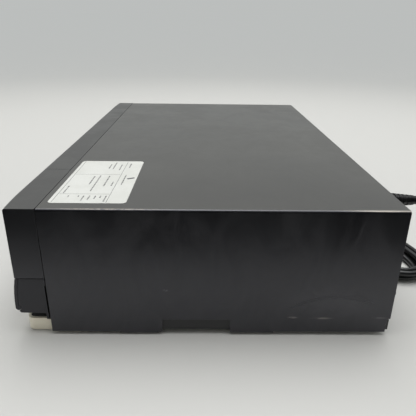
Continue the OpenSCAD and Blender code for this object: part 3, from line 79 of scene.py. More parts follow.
print("front at", FRONT, "mm, rear face at", round(REAR, 2), "mm, top at", round(TOP, 2), "mm")

# %% [markdown]
# ## The camera
# The photograph looks at the recorder's right side from a little above. Its pose was solved from the
# casing's straight edges. Pitch, yaw and roll turn into three directions, and these are the columns of the
# camera's matrix. Building the matrix this way avoids guessing the order in which angles are applied.

# %% Place the camera where the photograph was taken
PITCH, YAW, ROLL = (math.radians(a) for a in (22.353, 0.869, 0.762))
CAMERA_PLACE = Vector((477.57, -7.36, 208.70))
SENSOR_WIDTH, FOCAL_LENGTH = 36.0, 37.962
ahead = Vector((-math.cos(PITCH) * math.cos(YAW), math.cos(PITCH) * math.sin(YAW), -math.sin(PITCH)))
level = Vector((math.sin(YAW), math.cos(YAW), 0.0))
upright = level.cross(ahead)
right = math.cos(ROLL) * level + math.sin(ROLL) * upright
up = math.cos(ROLL) * upright - math.sin(ROLL) * level

lens = bpy.data.cameras.new("camera")
lens.sensor_width = SENSOR_WIDTH
lens.lens = FOCAL_LENGTH
lens.clip_start = 0.01
camera = bpy.data.objects.new("camera", lens)
bpy.context.collection.objects.link(camera)
turn = Matrix((right, up, -ahead)).transposed().to_4x4()
camera.matrix_world = Matrix.Translation(CAMERA_PLACE * MM) @ turn
bpy.context.scene.camera = camera
print("camera looks along", [round(v, 3) for v in ahead])

# %% [markdown]
# ## The power lead's course
# A mains lead is about one and a half metres of round vinyl-jacketed cable. It leaves its ribbed relief
# straight, falls to the shelf in a wide bend, and the rest is folded into a flat hank, as it comes from
# its box. The free stretch is a short list of points. The hank is worked out: a loop with straight runs
# and round ends, wound inwards on the lower layer and outwards on the upper one.

# %% Points of the free stretch
CORD_R = 2.5
RELIEF = Vector((170.0, REAR + 24.0, TOP - 9.0))
LYING_Z = 3.6  # height of the lead's middle where it lies
FALL = [  # sideways, backwards, and the share of the fall that is still below
    (0, 0, 1), (0, 6, 1), (-0.1, 14.9, 0.981), (-0.6, 22.4, 0.924), (-1.4, 27.4, 0.829),
    (-2.5, 30.5, 0.715), (-4, 32.9, 0.589), (-5.8, 35.5, 0.463), (-8.4, 38.5, 0.343),
    (-12.2, 41.9, 0.228), (-17.8, 45.3, 0.125), (-24.8, 47.9, 0.049), (-32.2, 49.2, 0.009),
    (-40, 49.5, 0), (-48, 49.5, 0)]
stretch = [Vector((RELIEF.x + x, RELIEF.y + y, LYING_Z + (RELIEF.z - LYING_Z) * share))
           for x, y, share in FALL]
print("free stretch:", len(stretch), "points")

# %% Points of the hank
RUN = 96.0  # length of the straight runs
INNER = 15.0  # radius of the innermost fold
STEP = 6.0  # from one turn to the next beside it
LAYER = 5.8  # from the lower layer to the upper one
TURNS = 2  # turns in each layer
WAIST = 8.0  # how far the tie draws a run in
RINGS = 24  # points in each turn
RUN_SHARE = 0.2  # share of a turn that one run takes
hank_middle = Vector((stretch[-1].x - RUN / 2 - 2 * CORD_R,
                      stretch[-1].y - INNER - STEP * (TURNS + RUN_SHARE / 2), LYING_Z))


def loop_point(share, radius):
    """A place on one flat loop, from 0 to 1 round it: a run, a fold, the other run, the other fold."""
    half, fold = RUN / 2, 0.5 - RUN_SHARE
    side, share = (1, share) if share < 0.5 else (-1, share - 0.5)
    if share < RUN_SHARE:
        done = share / RUN_SHARE
        return side * (RUN * done - half), side * (radius - WAIST * (1 - math.cos(math.tau * done)) / 2)
    angle = math.pi * (share - RUN_SHARE) / fold
    return side * (half + radius * math.sin(angle)), side * radius * math.cos(angle)


def hank_point(wound):
    """A point of the hank after so many turns: in over the lower layer, out over the upper one."""
    from_middle = wound - TURNS
    turn_share = (from_middle + RUN_SHARE / 2 + 2 * TURNS) % 1
    x, y = loop_point(turn_share, INNER + STEP * abs(from_middle))
    climb = min(1.0, max(0.0, 0.5 + from_middle / RUN_SHARE))
    return hank_middle + Vector((-x, y, LAYER * climb))


first, last = -RUN_SHARE / 2, 2 * TURNS + RUN_SHARE / 2
hank = [hank_point(first + i / RINGS) for i in range(round((last - first) * RINGS) + 1)]
hank_end = hank[-1] - Vector((2 * CORD_R, 0, 0))
route = stretch + hank + [hank_end]
lead_length = sum((b - a).length for a, b in zip(route, route[1:]))
print("lead in mm:", round(lead_length, 1), "ends at", [round(v, 1) for v in hank_end])

# %% Draw the lead as one round curve
lead_line = bpy.data.curves.new("power_lead", "CURVE")
lead_line.dimensions = "3D"
lead_line.bevel_depth = CORD_R * MM
lead_line.bevel_resolution = 4
lead_line.resolution_u = 4
lead_line.use_fill_caps = True
spline = lead_line.splines.new("BEZIER")
spline.bezier_points.add(len(route) - 1)
for knot, place in zip(spline.bezier_points, route):
    knot.co = place * MM
    knot.handle_left_type = knot.handle_right_type = "AUTO"
lead = bpy.data.objects.new("power_lead", lead_line)
bpy.context.collection.objects.link(lead)
print("lead drawn with", len(spline.bezier_points), "knots")

# %% [markdown]
# ## Helpers for small modelled pieces
# Three kinds of shape cover nearly everything: a slab with rounded corners (labels, blades), an outline
# turned round an axis (inserts, threads, the plug's boot), and a flat sign raised a little from a face (the
# triangles on the keys). Each is a bmesh operator or two. The last helper closes a piece: it turns the
# faces outwards, gives the piece its finish, and tells the frame which body carries it.

# %% Slab, turned shape and raised sign
def bevelled(bm, edges, offset, segments):
    """Round some edges by an offset in millimetres."""
    bmesh.ops.bevel(bm, geom=edges, offset=offset * MM, offset_type="OFFSET", segments=segments,
                    profile=0.5, affect="EDGES", material=-1)


def slab(bm, centre, size, corner=0.0, axis=2, segments=5):
    """A box in millimetres; its four edges along one axis can be rounded."""
    place = Matrix.Translation(Vector(centre) * MM) @ Matrix.Diagonal([s * MM for s in size] + [1])
    made = bmesh.ops.create_cube(bm, size=1.0, matrix=place)["verts"]
    if corner:
        edges = {e for v in made for e in v.link_edges}
        along = [e for e in edges if abs((e.verts[0].co - e.verts[1].co).normalized()[axis]) > 0.9]
        bevelled(bm, along, corner, segments)


def turned(bm, outline, centre, axis, steps=32, ring=False):
    """Turn an outline of (radius, distance along the axis) in millimetres once round the axis."""
    axis, centre = Vector(axis), Vector(centre) * MM
    out = axis.orthogonal().normalized()
    verts = [bm.verts.new(centre + out * r * MM + axis * a * MM) for r, a in outline]
    pairs = list(zip(verts, verts[1:])) + ([(verts[-1], verts[0])] if ring else [])
    edges = [bm.edges.new(pair) for pair in pairs]
    bmesh.ops.spin(bm, geom=verts + edges, cent=centre, axis=axis, angle=math.tau, steps=steps,
                   use_merge=True, use_duplicate=False)
    bmesh.ops.remove_doubles(bm, verts=bm.verts, dist=1e-7)


def sign(bm, centre, sides, width, height, turned_by=0.0, raised=0.06):
    """A flat shape with so many sides, raised towards the front (-Y) from a point on a key's face."""
    turn_it = Matrix.Rotation(math.pi / 2, 4, "X") @ Matrix.Rotation(math.radians(turned_by), 4, "Z")
    place = Matrix.Translation(centre) @ Matrix.Diagonal((width * MM, 1, height * MM, 1)) @ turn_it
    made = bmesh.ops.create_circle(bm, cap_ends=True, segments=sides, radius=0.5, matrix=place)["verts"]
    faces = list({f for v in made for f in v.link_faces})
    grown = bmesh.ops.extrude_face_region(bm, geom=faces, use_keep_orig=True)["geom"]
    moved = [g for g in grown if isinstance(g, bmesh.types.BMVert)]
    bmesh.ops.translate(bm, verts=moved, vec=(0, -raised * MM, 0))


# %% Close a piece and hand it to its body
def to_object(name, bm):
    """Turn a shape into an object of the scene."""
    mesh = bpy.data.meshes.new(name)
    bm.to_mesh(mesh)
    bm.free()
    made = bpy.data.objects.new(name, mesh)
    bpy.context.collection.objects.link(made)
    return made


def piece(name, bm, body, look, smooth=35.0):
    """Close a shape, give it its look, and let it ride on a body of the frame."""
    bmesh.ops.recalc_face_normals(bm, faces=bm.faces)
    made = to_object(name, bm)
    mesh = made.data
    mesh.polygons.foreach_set("use_smooth", [True] * len(mesh.polygons))
    mesh.set_sharp_from_angle(angle=math.radians(smooth))
    mesh.materials.append(look)
    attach(made, body)
    print(name, "faces:", len(mesh.polygons))
    return made


# %% [markdown]
# ## Helpers for finishes
# A finish is a small network of shader nodes. A few helpers keep the networks readable: one adds a node
# and connects or sets its inputs in the same line, others mix two colours, map a range, multiply two
# masks, take one part of a vector or make a noise. All patterns are read from Object coordinates, in
# metres, so a grain of a third of a millimetre has a scale of about 3000.

# %% Add a node, mix two colours, map a range
def add(tree, kind, inputs=None, **settings):
    """Add one shader node; an input that is a socket is connected, any other value is set."""
    made = tree.nodes.new("ShaderNode" + kind)
    for word, value in settings.items():
        setattr(made, word, value)
    for key, value in (inputs or {}).items():
        if isinstance(value, bpy.types.NodeSocket):
            tree.links.new(value, made.inputs[key])
        else:
            made.inputs[key].default_value = value
    return made


def mixed(tree, share, a, b):
    """A colour between a and b, at a share from 0 to 1."""
    return add(tree, "Mix", {0: share, 6: a, 7: b}, data_type="RGBA").outputs[2]


def ranged(tree, value, low, high, to_low=0.0, to_high=1.0):
    """Map a value from one range to another, softly and without running over."""
    made = add(tree, "MapRange", {"Value": value, "From Min": low, "From Max": high,
                                  "To Min": to_low, "To Max": to_high}, interpolation_type="SMOOTHSTEP")
    return made.outputs["Result"]


def product(tree, a, b):
    """Two masks multiplied."""
    return add(tree, "Math", {0: a, 1: b}, operation="MULTIPLY").outputs[0]


def part_of(tree, vector, axis):
    """One part of a vector: its X, Y or Z."""
    return add(tree, "SeparateXYZ", {0: vector}).outputs[axis]


def noise(tree, vector, scale=1.0, detail=2.0, **more):
    """A cloudy pattern."""
    return add(tree, "TexNoise", {"Vector": vector, "Scale": scale, "Detail": detail, **more}).outputs[0]


# %% Open a group, and place one
SOCKETS = {"vector": "NodeSocketVector", "colour": "NodeSocketColor", "value": "NodeSocketFloat"}


def group(name, inputs, outputs):
    """An empty shader group with named sockets; returns it with its input and output nodes."""
    tree = bpy.data.node_groups.new(name, "ShaderNodeTree")
    for word, kind in inputs:
        tree.interface.new_socket(word, in_out="INPUT", socket_type=SOCKETS[kind])
    for word, kind in outputs:
        tree.interface.new_socket(word, in_out="OUTPUT", socket_type=SOCKETS[kind])
    return tree, tree.nodes.new("NodeGroupInput").outputs, tree.nodes.new("NodeGroupOutput").inputs


def place_group(tree, which, inputs):
    """Place a group in a finish, and return its outputs."""
    return add(tree, "Group", inputs, node_tree=which).outputs


# %% [markdown]
# ## Mottle and grain
# No paint or plastic is quite even: the colour drifts slowly over centimetres, and the surface has a fine
# grain, left by the spray or by the texture of the mould. Both effects are needed by nearly every finish,
# so each is a node group with its own scale.

# %% The mottle group: two near colours, and the share between them
CLOUDY = (0.36, 0.66)  # nearly all of a noise lies between these values
mottle, inside, outside = group(
    "mottle", [("Vector", "vector"), ("Scale", "value"), ("Main", "colour"), ("Other", "colour")],
    [("Color", "colour"), ("Share", "value")])
cloud = noise(mottle, inside["Vector"], inside["Scale"], 4.0, Roughness=0.6)
share = ranged(mottle, cloud, *CLOUDY)
mottle.links.new(mixed(mottle, share, inside["Main"], inside["Other"]), outside["Color"])
mottle.links.new(share, outside["Share"])
print("mottle group:", len(mottle.nodes), "nodes")

# %% The grain group: a height for a Bump node
grain, inside, outside = group(
    "grain", [("Vector", "vector"), ("Scale", "value")], [("Height", "value")])
fine = noise(grain, inside["Vector"], inside["Scale"], 2.0)
pebble = add(grain, "TexVoronoi", {"Vector": inside["Vector"], "Scale": inside["Scale"]})
both = add(grain, "Math", {0: fine, 1: pebble.outputs["Distance"]}, operation="SUBTRACT")
grain.links.new(both.outputs[0], outside["Height"])
print("grain group:", len(grain.nodes), "nodes")

# %% [markdown]
# ## Worn edges, scuffs, dust and painted highlights
# Handling polishes the edges of a casing and rubs light marks into its paint. The edge mask compares the
# true normal with the normal of a rounded edge: where they differ, there is an edge. On the front mouldings
# the light edges are also a painted highlight, for the light that the edges catch. A scuff is a soft ellipse
# round a point, broken up by stretched noise, so that it looks rubbed and not painted on; the same mask lays
# a painted highlight along the cover's bend. Dust lies where the true normal points up, and with it a
# painted sheen lightens those faces.

# %% The edge group: edges worn light, and on the front mouldings a painted highlight
worn_and_lit_edge, inside, outside = group(
    "worn edge", [("Vector", "vector"), ("Radius", "value"), ("Amount", "value")], [("Mask", "value")])
soft_normal = add(worn_and_lit_edge, "Bevel", {"Radius": inside["Radius"]}, samples=4).outputs[0]
true_normal = add(worn_and_lit_edge, "NewGeometry").outputs["Normal"]
facing = add(worn_and_lit_edge, "VectorMath", {0: soft_normal, 1: true_normal}, operation="DOT_PRODUCT")
edge = ranged(worn_and_lit_edge, facing.outputs["Value"], 0.995, 0.9)
speck = noise(worn_and_lit_edge, inside["Vector"], 260.0, 5.0)
broken = product(worn_and_lit_edge, edge, ranged(worn_and_lit_edge, speck, 0.42, 0.68))
worn_and_lit_edge.links.new(product(worn_and_lit_edge, broken, inside["Amount"]), outside["Mask"])
print("worn edge group:", len(worn_and_lit_edge.nodes), "nodes")

# %% The scuff group, which also lays the painted highlight on the cover's bend
scuff_and_highlight, inside, outside = group(
    "scuff_and_highlight", [("Vector", "vector"), ("Centre", "vector"), ("Reach", "vector"), ("Stretch", "vector"),
              ("Fill", "value")],
    [("Mask", "value")])
offset = add(scuff_and_highlight, "VectorMath", {0: inside["Vector"], 1: inside["Centre"]}, operation="SUBTRACT")
scaled = add(scuff_and_highlight, "VectorMath", {0: offset.outputs[0], 1: inside["Reach"]}, operation="DIVIDE")
far = add(scuff_and_highlight, "VectorMath", {0: scaled.outputs[0]}, operation="LENGTH")
near = ranged(scuff_and_highlight, far.outputs["Value"], 1.0, 0.2)
pulled = add(scuff_and_highlight, "VectorMath", {0: inside["Vector"], 1: inside["Stretch"]}, operation="MULTIPLY")
streaks = noise(scuff_and_highlight, pulled.outputs[0], 1.0, 4.0, Roughness=0.7)
filled = add(scuff_and_highlight, "Math", {0: streaks, 1: inside["Fill"]}, operation="ADD")
streaked = ranged(scuff_and_highlight, filled.outputs[0], 0.5, 0.72)
scuff_and_highlight.links.new(product(scuff_and_highlight, near, streaked), outside["Mask"])
print("scuff group:", len(scuff_and_highlight.nodes), "nodes")

# %% The dust group: dust, and a painted sheen, on what faces up
dust_and_sheen, inside, outside = group("dust_and_sheen", [("Vector", "vector"), ("Amount", "value")], [("Mask", "value")])
upward = part_of(dust_and_sheen, add(dust_and_sheen, "NewGeometry").outputs["Normal"], "Z")
patchy = noise(dust_and_sheen, inside["Vector"], 7.0, 4.0)
uneven = ranged(dust_and_sheen, patchy, 0.25, 0.7, 0.7, 1.0)
facing_up_patches = product(dust_and_sheen, ranged(dust_and_sheen, upward, 0.82, 0.995), uneven)
dust_and_sheen.links.new(product(dust_and_sheen, facing_up_patches, inside["Amount"]), outside["Mask"])
print("dust group:", len(dust_and_sheen.nodes), "nodes")

# %% [markdown]
# ## One recipe for all finishes
# Paint, plastic, rubber and metal differ in numbers and not in kind: two near colours, a range of
# roughness, a grain, a rounding of the edges and some wear, which on the front mouldings is also a painted
# highlight of the edges. The recipe builds that network and returns its parts, so that a special finish can
# add to it. A number that is the same everywhere, such as a metal's metallic 1, is set straight on the
# shader.

# %% The recipe
def finish(name, main, other, rough=(0.4, 0.5), drift=18.0, grain_scale=2500.0, grain_depth=0.02,
           round_mm=0.3, wear=0.0, worn=(0.2, 0.2, 0.2), **constants):
    """A finish with mottled colour, uneven roughness, fine grain, rounded edges and lighter edges."""
    made = bpy.data.materials.new(name)
    made.use_nodes = True
    tree = made.node_tree
    shader = tree.nodes["Principled BSDF"]
    where = add(tree, "TexCoord").outputs["Object"]
    base = place_group(tree, mottle, {"Vector": where, "Scale": drift, "Main": (*main, 1),
                                      "Other": (*other, 1)})
    colour = base["Color"]
    # Edges are laid lighter: wear, and on the front mouldings also a painted highlight of the light they
    # catch.
    if wear:
        worn_and_lit_edges = place_group(tree, worn_and_lit_edge, {"Vector": where, "Radius": 0.6 * MM, "Amount": wear})
        colour = mixed(tree, worn_and_lit_edges["Mask"], colour, (*worn, 1))
    tree.links.new(colour, shader.inputs["Base Color"])
    tree.links.new(ranged(tree, base["Share"], 0.0, 1.0, *rough), shader.inputs["Roughness"])
    rounded = add(tree, "Bevel", {"Radius": round_mm * MM}, samples=4)
    height = place_group(tree, grain, {"Vector": where, "Scale": grain_scale})["Height"]
    bump = add(tree, "Bump", {"Strength": 0.6, "Distance": grain_depth * MM, "Height": height,
                              "Normal": rounded.outputs[0]})
    tree.links.new(bump.outputs[0], shader.inputs["Normal"])
    for word, value in constants.items():
        shader.inputs[word.replace("_", " ")].default_value = value
    return made, tree, shader, where


# %% Add to a finish: lay a tone over it, change its grain, dust it and paint a sheen on it
def over(shader, mask, tone, socket="Base Color"):
    """Lay a tone over what already feeds a socket, where the mask is."""
    tree, before = shader.id_data, shader.inputs[socket].links[0].from_socket
    tree.links.new(mixed(tree, mask, before, (*tone, 1)), shader.inputs[socket])


def regrained(shader, height):
    """Feed the bump with another height, in the place of the fine grain."""
    bump = shader.inputs["Normal"].links[0].from_node
    shader.id_data.links.new(height, bump.inputs["Height"])


# Tone of the dust, which also paints the sheen that faces turned up catch
DUST_AND_SHEEN = (0.066, 0.065, 0.056)


def dusted_and_sheened(shader, where, amount):
    """Lay a dusty layer with a painted sheen on what faces up."""
    dust_and_sheen_film = place_group(shader.id_data, dust_and_sheen, {"Vector": where, "Amount": amount})
    over(shader, dust_and_sheen_film["Mask"], DUST_AND_SHEEN)


# %% [markdown]
# ## The cover's paint
# The cover is one bent sheet of steel with satin charcoal paint. It was sprayed, so it has a faint orange
# peel, and hands have left hanging smudges on its sides. Low on the side the photograph shows rubbed
# patches, placed with the scuff group at the spots where they are seen. Along the bend the same group lays a
# light line: worn specks, where the recorder was slid in and out of a shelf, and a painted highlight of the
# light that the bend catches. One arc on the side was wiped clean. Dust and a painted sheen lighten the top.

# %% Charcoal cover paint with its smudges
PAINT_DARK, PAINT_LIGHT = (0.0044, 0.0046, 0.0056), (0.0062, 0.0065, 0.0077)
SMUDGE, SMUDGE_ROUGH = (0.0140, 0.0140, 0.0155), (0.40, 0.40, 0.40)
COOL_SHEEN = (0.92, 0.92, 1.0, 1)
cover_paint, tree, shader, where = finish(
    "cover_paint", PAINT_DARK, PAINT_LIGHT, rough=(0.28, 0.34), drift=9.0, grain_scale=1100.0,
    grain_depth=0.008, wear=0.3, worn=(0.12, 0.11, 0.1), Specular_IOR_Level=0.8, Specular_Tint=COOL_SHEEN)
hanging = add(tree, "Mapping", {"Vector": where, "Scale": (28.0, 40.0, 20.0)})
wiped = noise(tree, hanging.outputs[0], 1.0, 5.0, Roughness=0.65, Distortion=1.2)
facing_up = part_of(tree, add(tree, "NewGeometry").outputs["Normal"], "Z")
upright_only = ranged(tree, facing_up, 0.6, 0.1, 0.25, 1.0)
smudge = product(tree, ranged(tree, wiped, *CLOUDY), upright_only)
over(shader, smudge, SMUDGE)
over(shader, smudge, SMUDGE_ROUGH, "Roughness")
print("cover paint:", len(tree.nodes), "nodes")

# %% Scuffs on the side, and worn specks with a painted highlight on the bend
SIDE_X, BEND_X, BEND_Z = 215, 213.4, 98.95
SCUFFS_AND_BEND_HIGHLIGHT = [  # centre, reach, stretch of the rubbing, how much of it is filled, how light it gets
    ((SIDE_X, 195, 15.6), (3, 5, 1.1), (60, 200, 500), 0.2, (0.15, 0.14, 0.13)),
    ((SIDE_X, 216.5, 15), (3, 10, 1.1), (60, 150, 500), 0.2, (0.17, 0.16, 0.14)),
    ((SIDE_X, 259, 15.5), (3, 8, 0.9), (60, 200, 500), 0.12, (0.07, 0.07, 0.07)),
    # a faint lighter line along the side, 12.5 mm up
    ((SIDE_X, 66, 12.5), (3, 42, 0.9), (60, 22, 900), 0.0, (0.05, 0.05, 0.05)),
    ((SIDE_X, 104, 38), (3, 2.4, 1.3), (300, 300, 300), 0.1, (0.12, 0.12, 0.12)),
    ((SIDE_X, 222, 28), (3, 46, 20), (60, 40, 60), 0.16, (0.024, 0.024, 0.026)),
    # along the bend: worn specks and a painted highlight of the light the bend catches
    ((BEND_X, 250, BEND_Z), (1.5, 36, 1.0), (900, 200, 900), 0.3, (0.62, 0.56, 0.47)),
    ((BEND_X, 66, BEND_Z), (1.3, 50, 0.8), (900, 420, 900), 0.14, (0.50, 0.42, 0.32))]
for centre, reach, stretch_by, fill, tone in SCUFFS_AND_BEND_HIGHLIGHT:
    scuff_and_highlight_mask = place_group(tree, scuff_and_highlight, {"Vector": where, "Centre": at(*centre), "Stretch": stretch_by,
                                        "Reach": Vector(reach) * MM, "Fill": fill})
    over(shader, scuff_and_highlight_mask["Mask"], tone)
print("scuffs:", len(SCUFFS_AND_BEND_HIGHLIGHT))

# %% An arc wiped clean, low on the side
ARC_CENTRE, ARC_RADIUS = at(SIDE_X, 226.3, -26), 59.4 * MM
ARC_EDGE, ARC_CORE = 3.0 * MM, 0.4 * MM
ARC_ENDS = [(183, 200), (262, 244)]  # the depth where it begins to show, and where it shows in full
ARC_ROUGH = (0.24, 0.24, 0.24)
away = add(tree, "VectorMath", {0: where, 1: ARC_CENTRE}, operation="DISTANCE").outputs["Value"]
off_arc = add(tree, "Math", {0: away, 1: ARC_RADIUS}, operation="SUBTRACT").outputs[0]
off_arc = add(tree, "Math", {0: off_arc}, operation="ABSOLUTE").outputs[0]
depth_on = part_of(tree, where, "Y")
arc = ranged(tree, off_arc, ARC_EDGE, ARC_CORE)
for faint, full in ARC_ENDS:
    arc = product(tree, arc, ranged(tree, depth_on, at(0, faint, 0).y, at(0, full, 0).y))
over(shader, arc, PAINT_DARK)
over(shader, arc, ARC_ROUGH, "Roughness")
# dust and a painted sheen lighten what faces up
dusted_and_sheened(shader, where, 0.85)
print("cover paint with its wear:", len(tree.nodes), "nodes")

# %% [markdown]
# ## Moulded plastics
# The front panels, flap and door are charcoal mouldings with a fine spark-eroded texture. Their edges are
# laid lighter, as wear and as a painted highlight of the light they catch. The flap and the lower panel are
# a shaded copy of the same plastic: a duller shine and neither dust nor sheen paint the shade they lie in.
# The keys are smoother and a little lighter. The lead's tie and the loader's slider are plain black plastic.
# The same recipe makes all of them, with its numbers changed.

# %% Front mouldings, keys and plain black plastic
# Edges laid lighter here are wear and a painted highlight of the light the edges catch.
MOULDED = dict(main=(0.0060, 0.0062, 0.0072), other=(0.0080, 0.0083, 0.0094), rough=(0.3, 0.38),
               grain_scale=2600.0, grain_depth=0.01, wear=0.5, worn=(0.075, 0.075, 0.078),
               Specular_Tint=COOL_SHEEN)
front_plastic, tree, shader, where = finish("front_plastic", Specular_IOR_Level=0.75, **MOULDED)
# dust and a painted sheen lighten what faces up
dusted_and_sheened(shader, where, 0.55)
# A shaded copy of the front plastic: less shine and neither dust nor sheen paint the shade of the flap and
# lower panel.
flap_plastic = finish("flap_plastic", Specular_IOR_Level=0.52, **MOULDED)[0]
key_plastic = finish(
    "key_plastic", (0.022, 0.0225, 0.024), (0.027, 0.0275, 0.029), rough=(0.24, 0.34),
    grain_scale=3200.0, grain_depth=0.006, wear=0.15, worn=(0.12, 0.12, 0.12))[0]
black_plastic = finish("black_plastic", (0.018, 0.018, 0.019), (0.024, 0.024, 0.025), rough=(0.4, 0.5))[0]
slider_plastic = finish("slider_plastic", (0.03, 0.03, 0.034), (0.04, 0.04, 0.044), rough=(0.35, 0.45))[0]
print("plastics done")

# %% [markdown]
# ## Rubber, vinyl and nylon
# Feet and rollers are matt rubber, the lead's jacket is a slightly shinier vinyl, and the gears are
# natural nylon, which lets a little light in. Light that enters and scatters is the shader's subsurface
# input; a small weight is enough to take the chalkiness away.

# %% Rubber feet, vinyl jacket, nylon gears, black reels
foot_rubber = finish(
    "foot_rubber", (0.014, 0.014, 0.014), (0.022, 0.022, 0.022), rough=(0.65, 0.8), grain_scale=1600.0,
    grain_depth=0.03)[0]
cord_jacket = finish(
    "cord_jacket", (0.0050, 0.0050, 0.0056), (0.0075, 0.0075, 0.0082), rough=(0.3, 0.4), drift=60.0,
    grain_scale=1800.0, grain_depth=0.012, round_mm=0.2)[0]
nylon = finish(
    "nylon", (0.74, 0.71, 0.62), (0.68, 0.65, 0.55), rough=(0.42, 0.55), drift=90.0,
    Subsurface_Weight=0.15, Subsurface_Scale=0.001)[0]
reel_plastic = finish("reel_plastic", (0.03, 0.03, 0.033), (0.04, 0.04, 0.043), rough=(0.32, 0.42))[0]
print("soft finishes done")

# %% [markdown]
# ## Metals
# The foot bands are champagne-coloured and satin, the chassis and rear panel are black-coated steel, the
# deck is zinc-plated, the tuner's box is tinned, and the shafts and guide posts are ground and polished.
# Sheet that was rolled has fine lines in one direction, so its grain is a noise stretched along X.

# %% Painted and plated sheet
chassis_steel = finish(
    "chassis_steel", (0.010, 0.0102, 0.0115), (0.014, 0.0143, 0.016), rough=(0.34, 0.44),
    grain_scale=1500.0, grain_depth=0.008, wear=0.4, worn=(0.16, 0.16, 0.16), Specular_IOR_Level=0.6)[0]
black_screw = finish(
    "black_screw", (0.03, 0.03, 0.032), (0.05, 0.05, 0.05), rough=(0.3, 0.4), round_mm=0.12, wear=0.5,
    worn=(0.4, 0.4, 0.4), Metallic=0.6)[0]


def rolled(name, main, other, rough):
    """A bright metal with fine rolling lines along X."""
    made, tree, shader, where = finish(name, main, other, rough=rough, drift=30.0, grain_depth=0.004,
                                       Metallic=1.0)
    stretched = add(tree, "Mapping", {"Vector": where, "Scale": (40.0, 2600.0, 2600.0)})
    regrained(shader, noise(tree, stretched.outputs[0], 1.0, 3.0))
    return made


deck_steel = rolled("deck_steel", (0.60, 0.60, 0.61), (0.54, 0.55, 0.57), (0.3, 0.42))
tin_shield = rolled("tin_shield", (0.66, 0.66, 0.65), (0.58, 0.58, 0.58), (0.26, 0.4))
head_block = rolled("head_block", (0.36, 0.34, 0.30), (0.42, 0.40, 0.36), (0.25, 0.35))
print("sheet metals done")

# %% Bright and polished metal, the champagne foot bands
polished_steel = finish(
    "polished_steel", (0.72, 0.72, 0.73), (0.66, 0.66, 0.68), rough=(0.1, 0.18), grain_depth=0.001,
    round_mm=0.1, Metallic=1.0)[0]
bright_screw = finish(
    "bright_screw", (0.66, 0.66, 0.64), (0.58, 0.57, 0.53), rough=(0.22, 0.34), grain_depth=0.004,
    round_mm=0.1, Metallic=1.0)[0]
silver_trim = finish(
    "silver_trim", (0.86, 0.81, 0.68), (0.82, 0.765, 0.635), rough=(0.3, 0.4), drift=40.0,
    grain_scale=2200.0, grain_depth=0.006, round_mm=0.5, Metallic=0.3)[0]
brass = finish(
    "plug_brass", (0.72, 0.60, 0.36), (0.62, 0.52, 0.32), rough=(0.2, 0.34), drift=120.0,
    grain_depth=0.003, round_mm=0.15, Metallic=1.0)[0]
print("bright metals done")

# %% [markdown]
# ## The turned head drum
# The drum is aluminium, turned on a lathe, and its skin shows the tool's rings. A wave texture in rings
# round the drum's own leaning axis gives them. The Mapping node moves the pattern's middle to the drum
# and leans it by the same angle as the solid.

# %% Turned aluminium
DRUM_LEAN, TOOL_RINGS = math.radians(5.9), 700.0
drum_middle = sum(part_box("drum_rotor"), Vector()) / 2
drum_alloy, tree, shader, where = finish(
    "drum_alloy", (0.78, 0.79, 0.80), (0.72, 0.73, 0.75), rough=(0.18, 0.28), drift=60.0, Metallic=1.0)
centred = add(tree, "VectorMath", {0: where, 1: drum_middle}, operation="SUBTRACT")
leaned = add(tree, "Mapping", {"Vector": centred.outputs[0], "Rotation": (0, -DRUM_LEAN, 0)})
rings = add(tree, "TexWave", {"Vector": leaned.outputs[0], "Scale": TOOL_RINGS, "Distortion": 0.2},
            wave_type="RINGS", rings_direction="Z")
regrained(shader, rings.outputs[1])
print("drum alloy:", len(tree.nodes), "nodes")

# %% [markdown]
# ## Circuit boards
# A board solid carries its parts: chips, capacitors, switches. They stand on one side of the board, so a
# mask on that axis tells board from parts without touching the mesh. The board side gets solder mask with
# copper tracks and tinned pads, and the parts get the dark and coloured tones of real components.

# %% A board finish from one axis and the board's face
BLACK_CHIP, SOLDER, NICKEL = (0.012, 0.012, 0.013), (0.5, 0.5, 0.48), (0.62, 0.60, 0.55)
LOW_PARTS = 4.2 * MM  # what ends under this height is black, what stands above it is coloured


def board(name, mask_colour, track_colour, axis, face, side, sleeves):
    """Solder mask with tracks on one side of a face, black chips and coloured sleeves on the other."""
    made, tree, shader, where = finish(name, mask_colour, mask_colour, rough=(0.25, 0.4), drift=25.0,
                                       grain_depth=0.004, round_mm=0.15)
    long_lines = add(tree, "Mapping", {"Vector": where, "Scale": (60.0, 420.0, 420.0)})
    track_noise = noise(tree, long_lines.outputs[0], 1.0, 1.0)
    over(shader, ranged(tree, track_noise, 0.53, 0.56), track_colour)
    dots = add(tree, "TexVoronoi", {"Vector": where, "Scale": 230.0, "Randomness": 0.45})
    over(shader, ranged(tree, dots.outputs["Distance"], 0.2, 0.16), SOLDER)
    spread = part_of(tree, where, axis)
    parts = ranged(tree, spread, face + side * 0.05 * MM, face + side * 0.2 * MM)
    over(shader, parts, BLACK_CHIP)
    tall = ranged(tree, spread, face + side * LOW_PARTS, face + side * (LOW_PARTS + 0.3 * MM))
    sleeved(tree, shader, where, tall, sleeves)
    return made, tree, shader, where, parts


def sleeved(tree, shader, where, tall, sleeves):
    """Give each tall part one of a few tones, by the cells of a Voronoi pattern."""
    cells = add(tree, "TexVoronoi", {"Vector": where, "Scale": 34.0})
    tones = add(tree, "ValToRGB", {"Fac": cells.outputs["Color"]})
    ramp = tones.color_ramp
    ramp.interpolation = "CONSTANT"
    for number, tone in enumerate(sleeves):
        stop = ramp.elements.new(0.35 + 0.2 * number) if number else ramp.elements[0]
        stop.color = (*tone, 1)
    before = shader.inputs["Base Color"].links[0].from_socket
    tree.links.new(mixed(tree, tall, before, tones.outputs[0]), shader.inputs["Base Color"])


def nickel_plated(shader, mask):
    """Plate what the mask marks: one mask is the share of the colour and the metallic value."""
    over(shader, mask, NICKEL)
    shader.id_data.links.new(mask, shader.inputs["Metallic"])


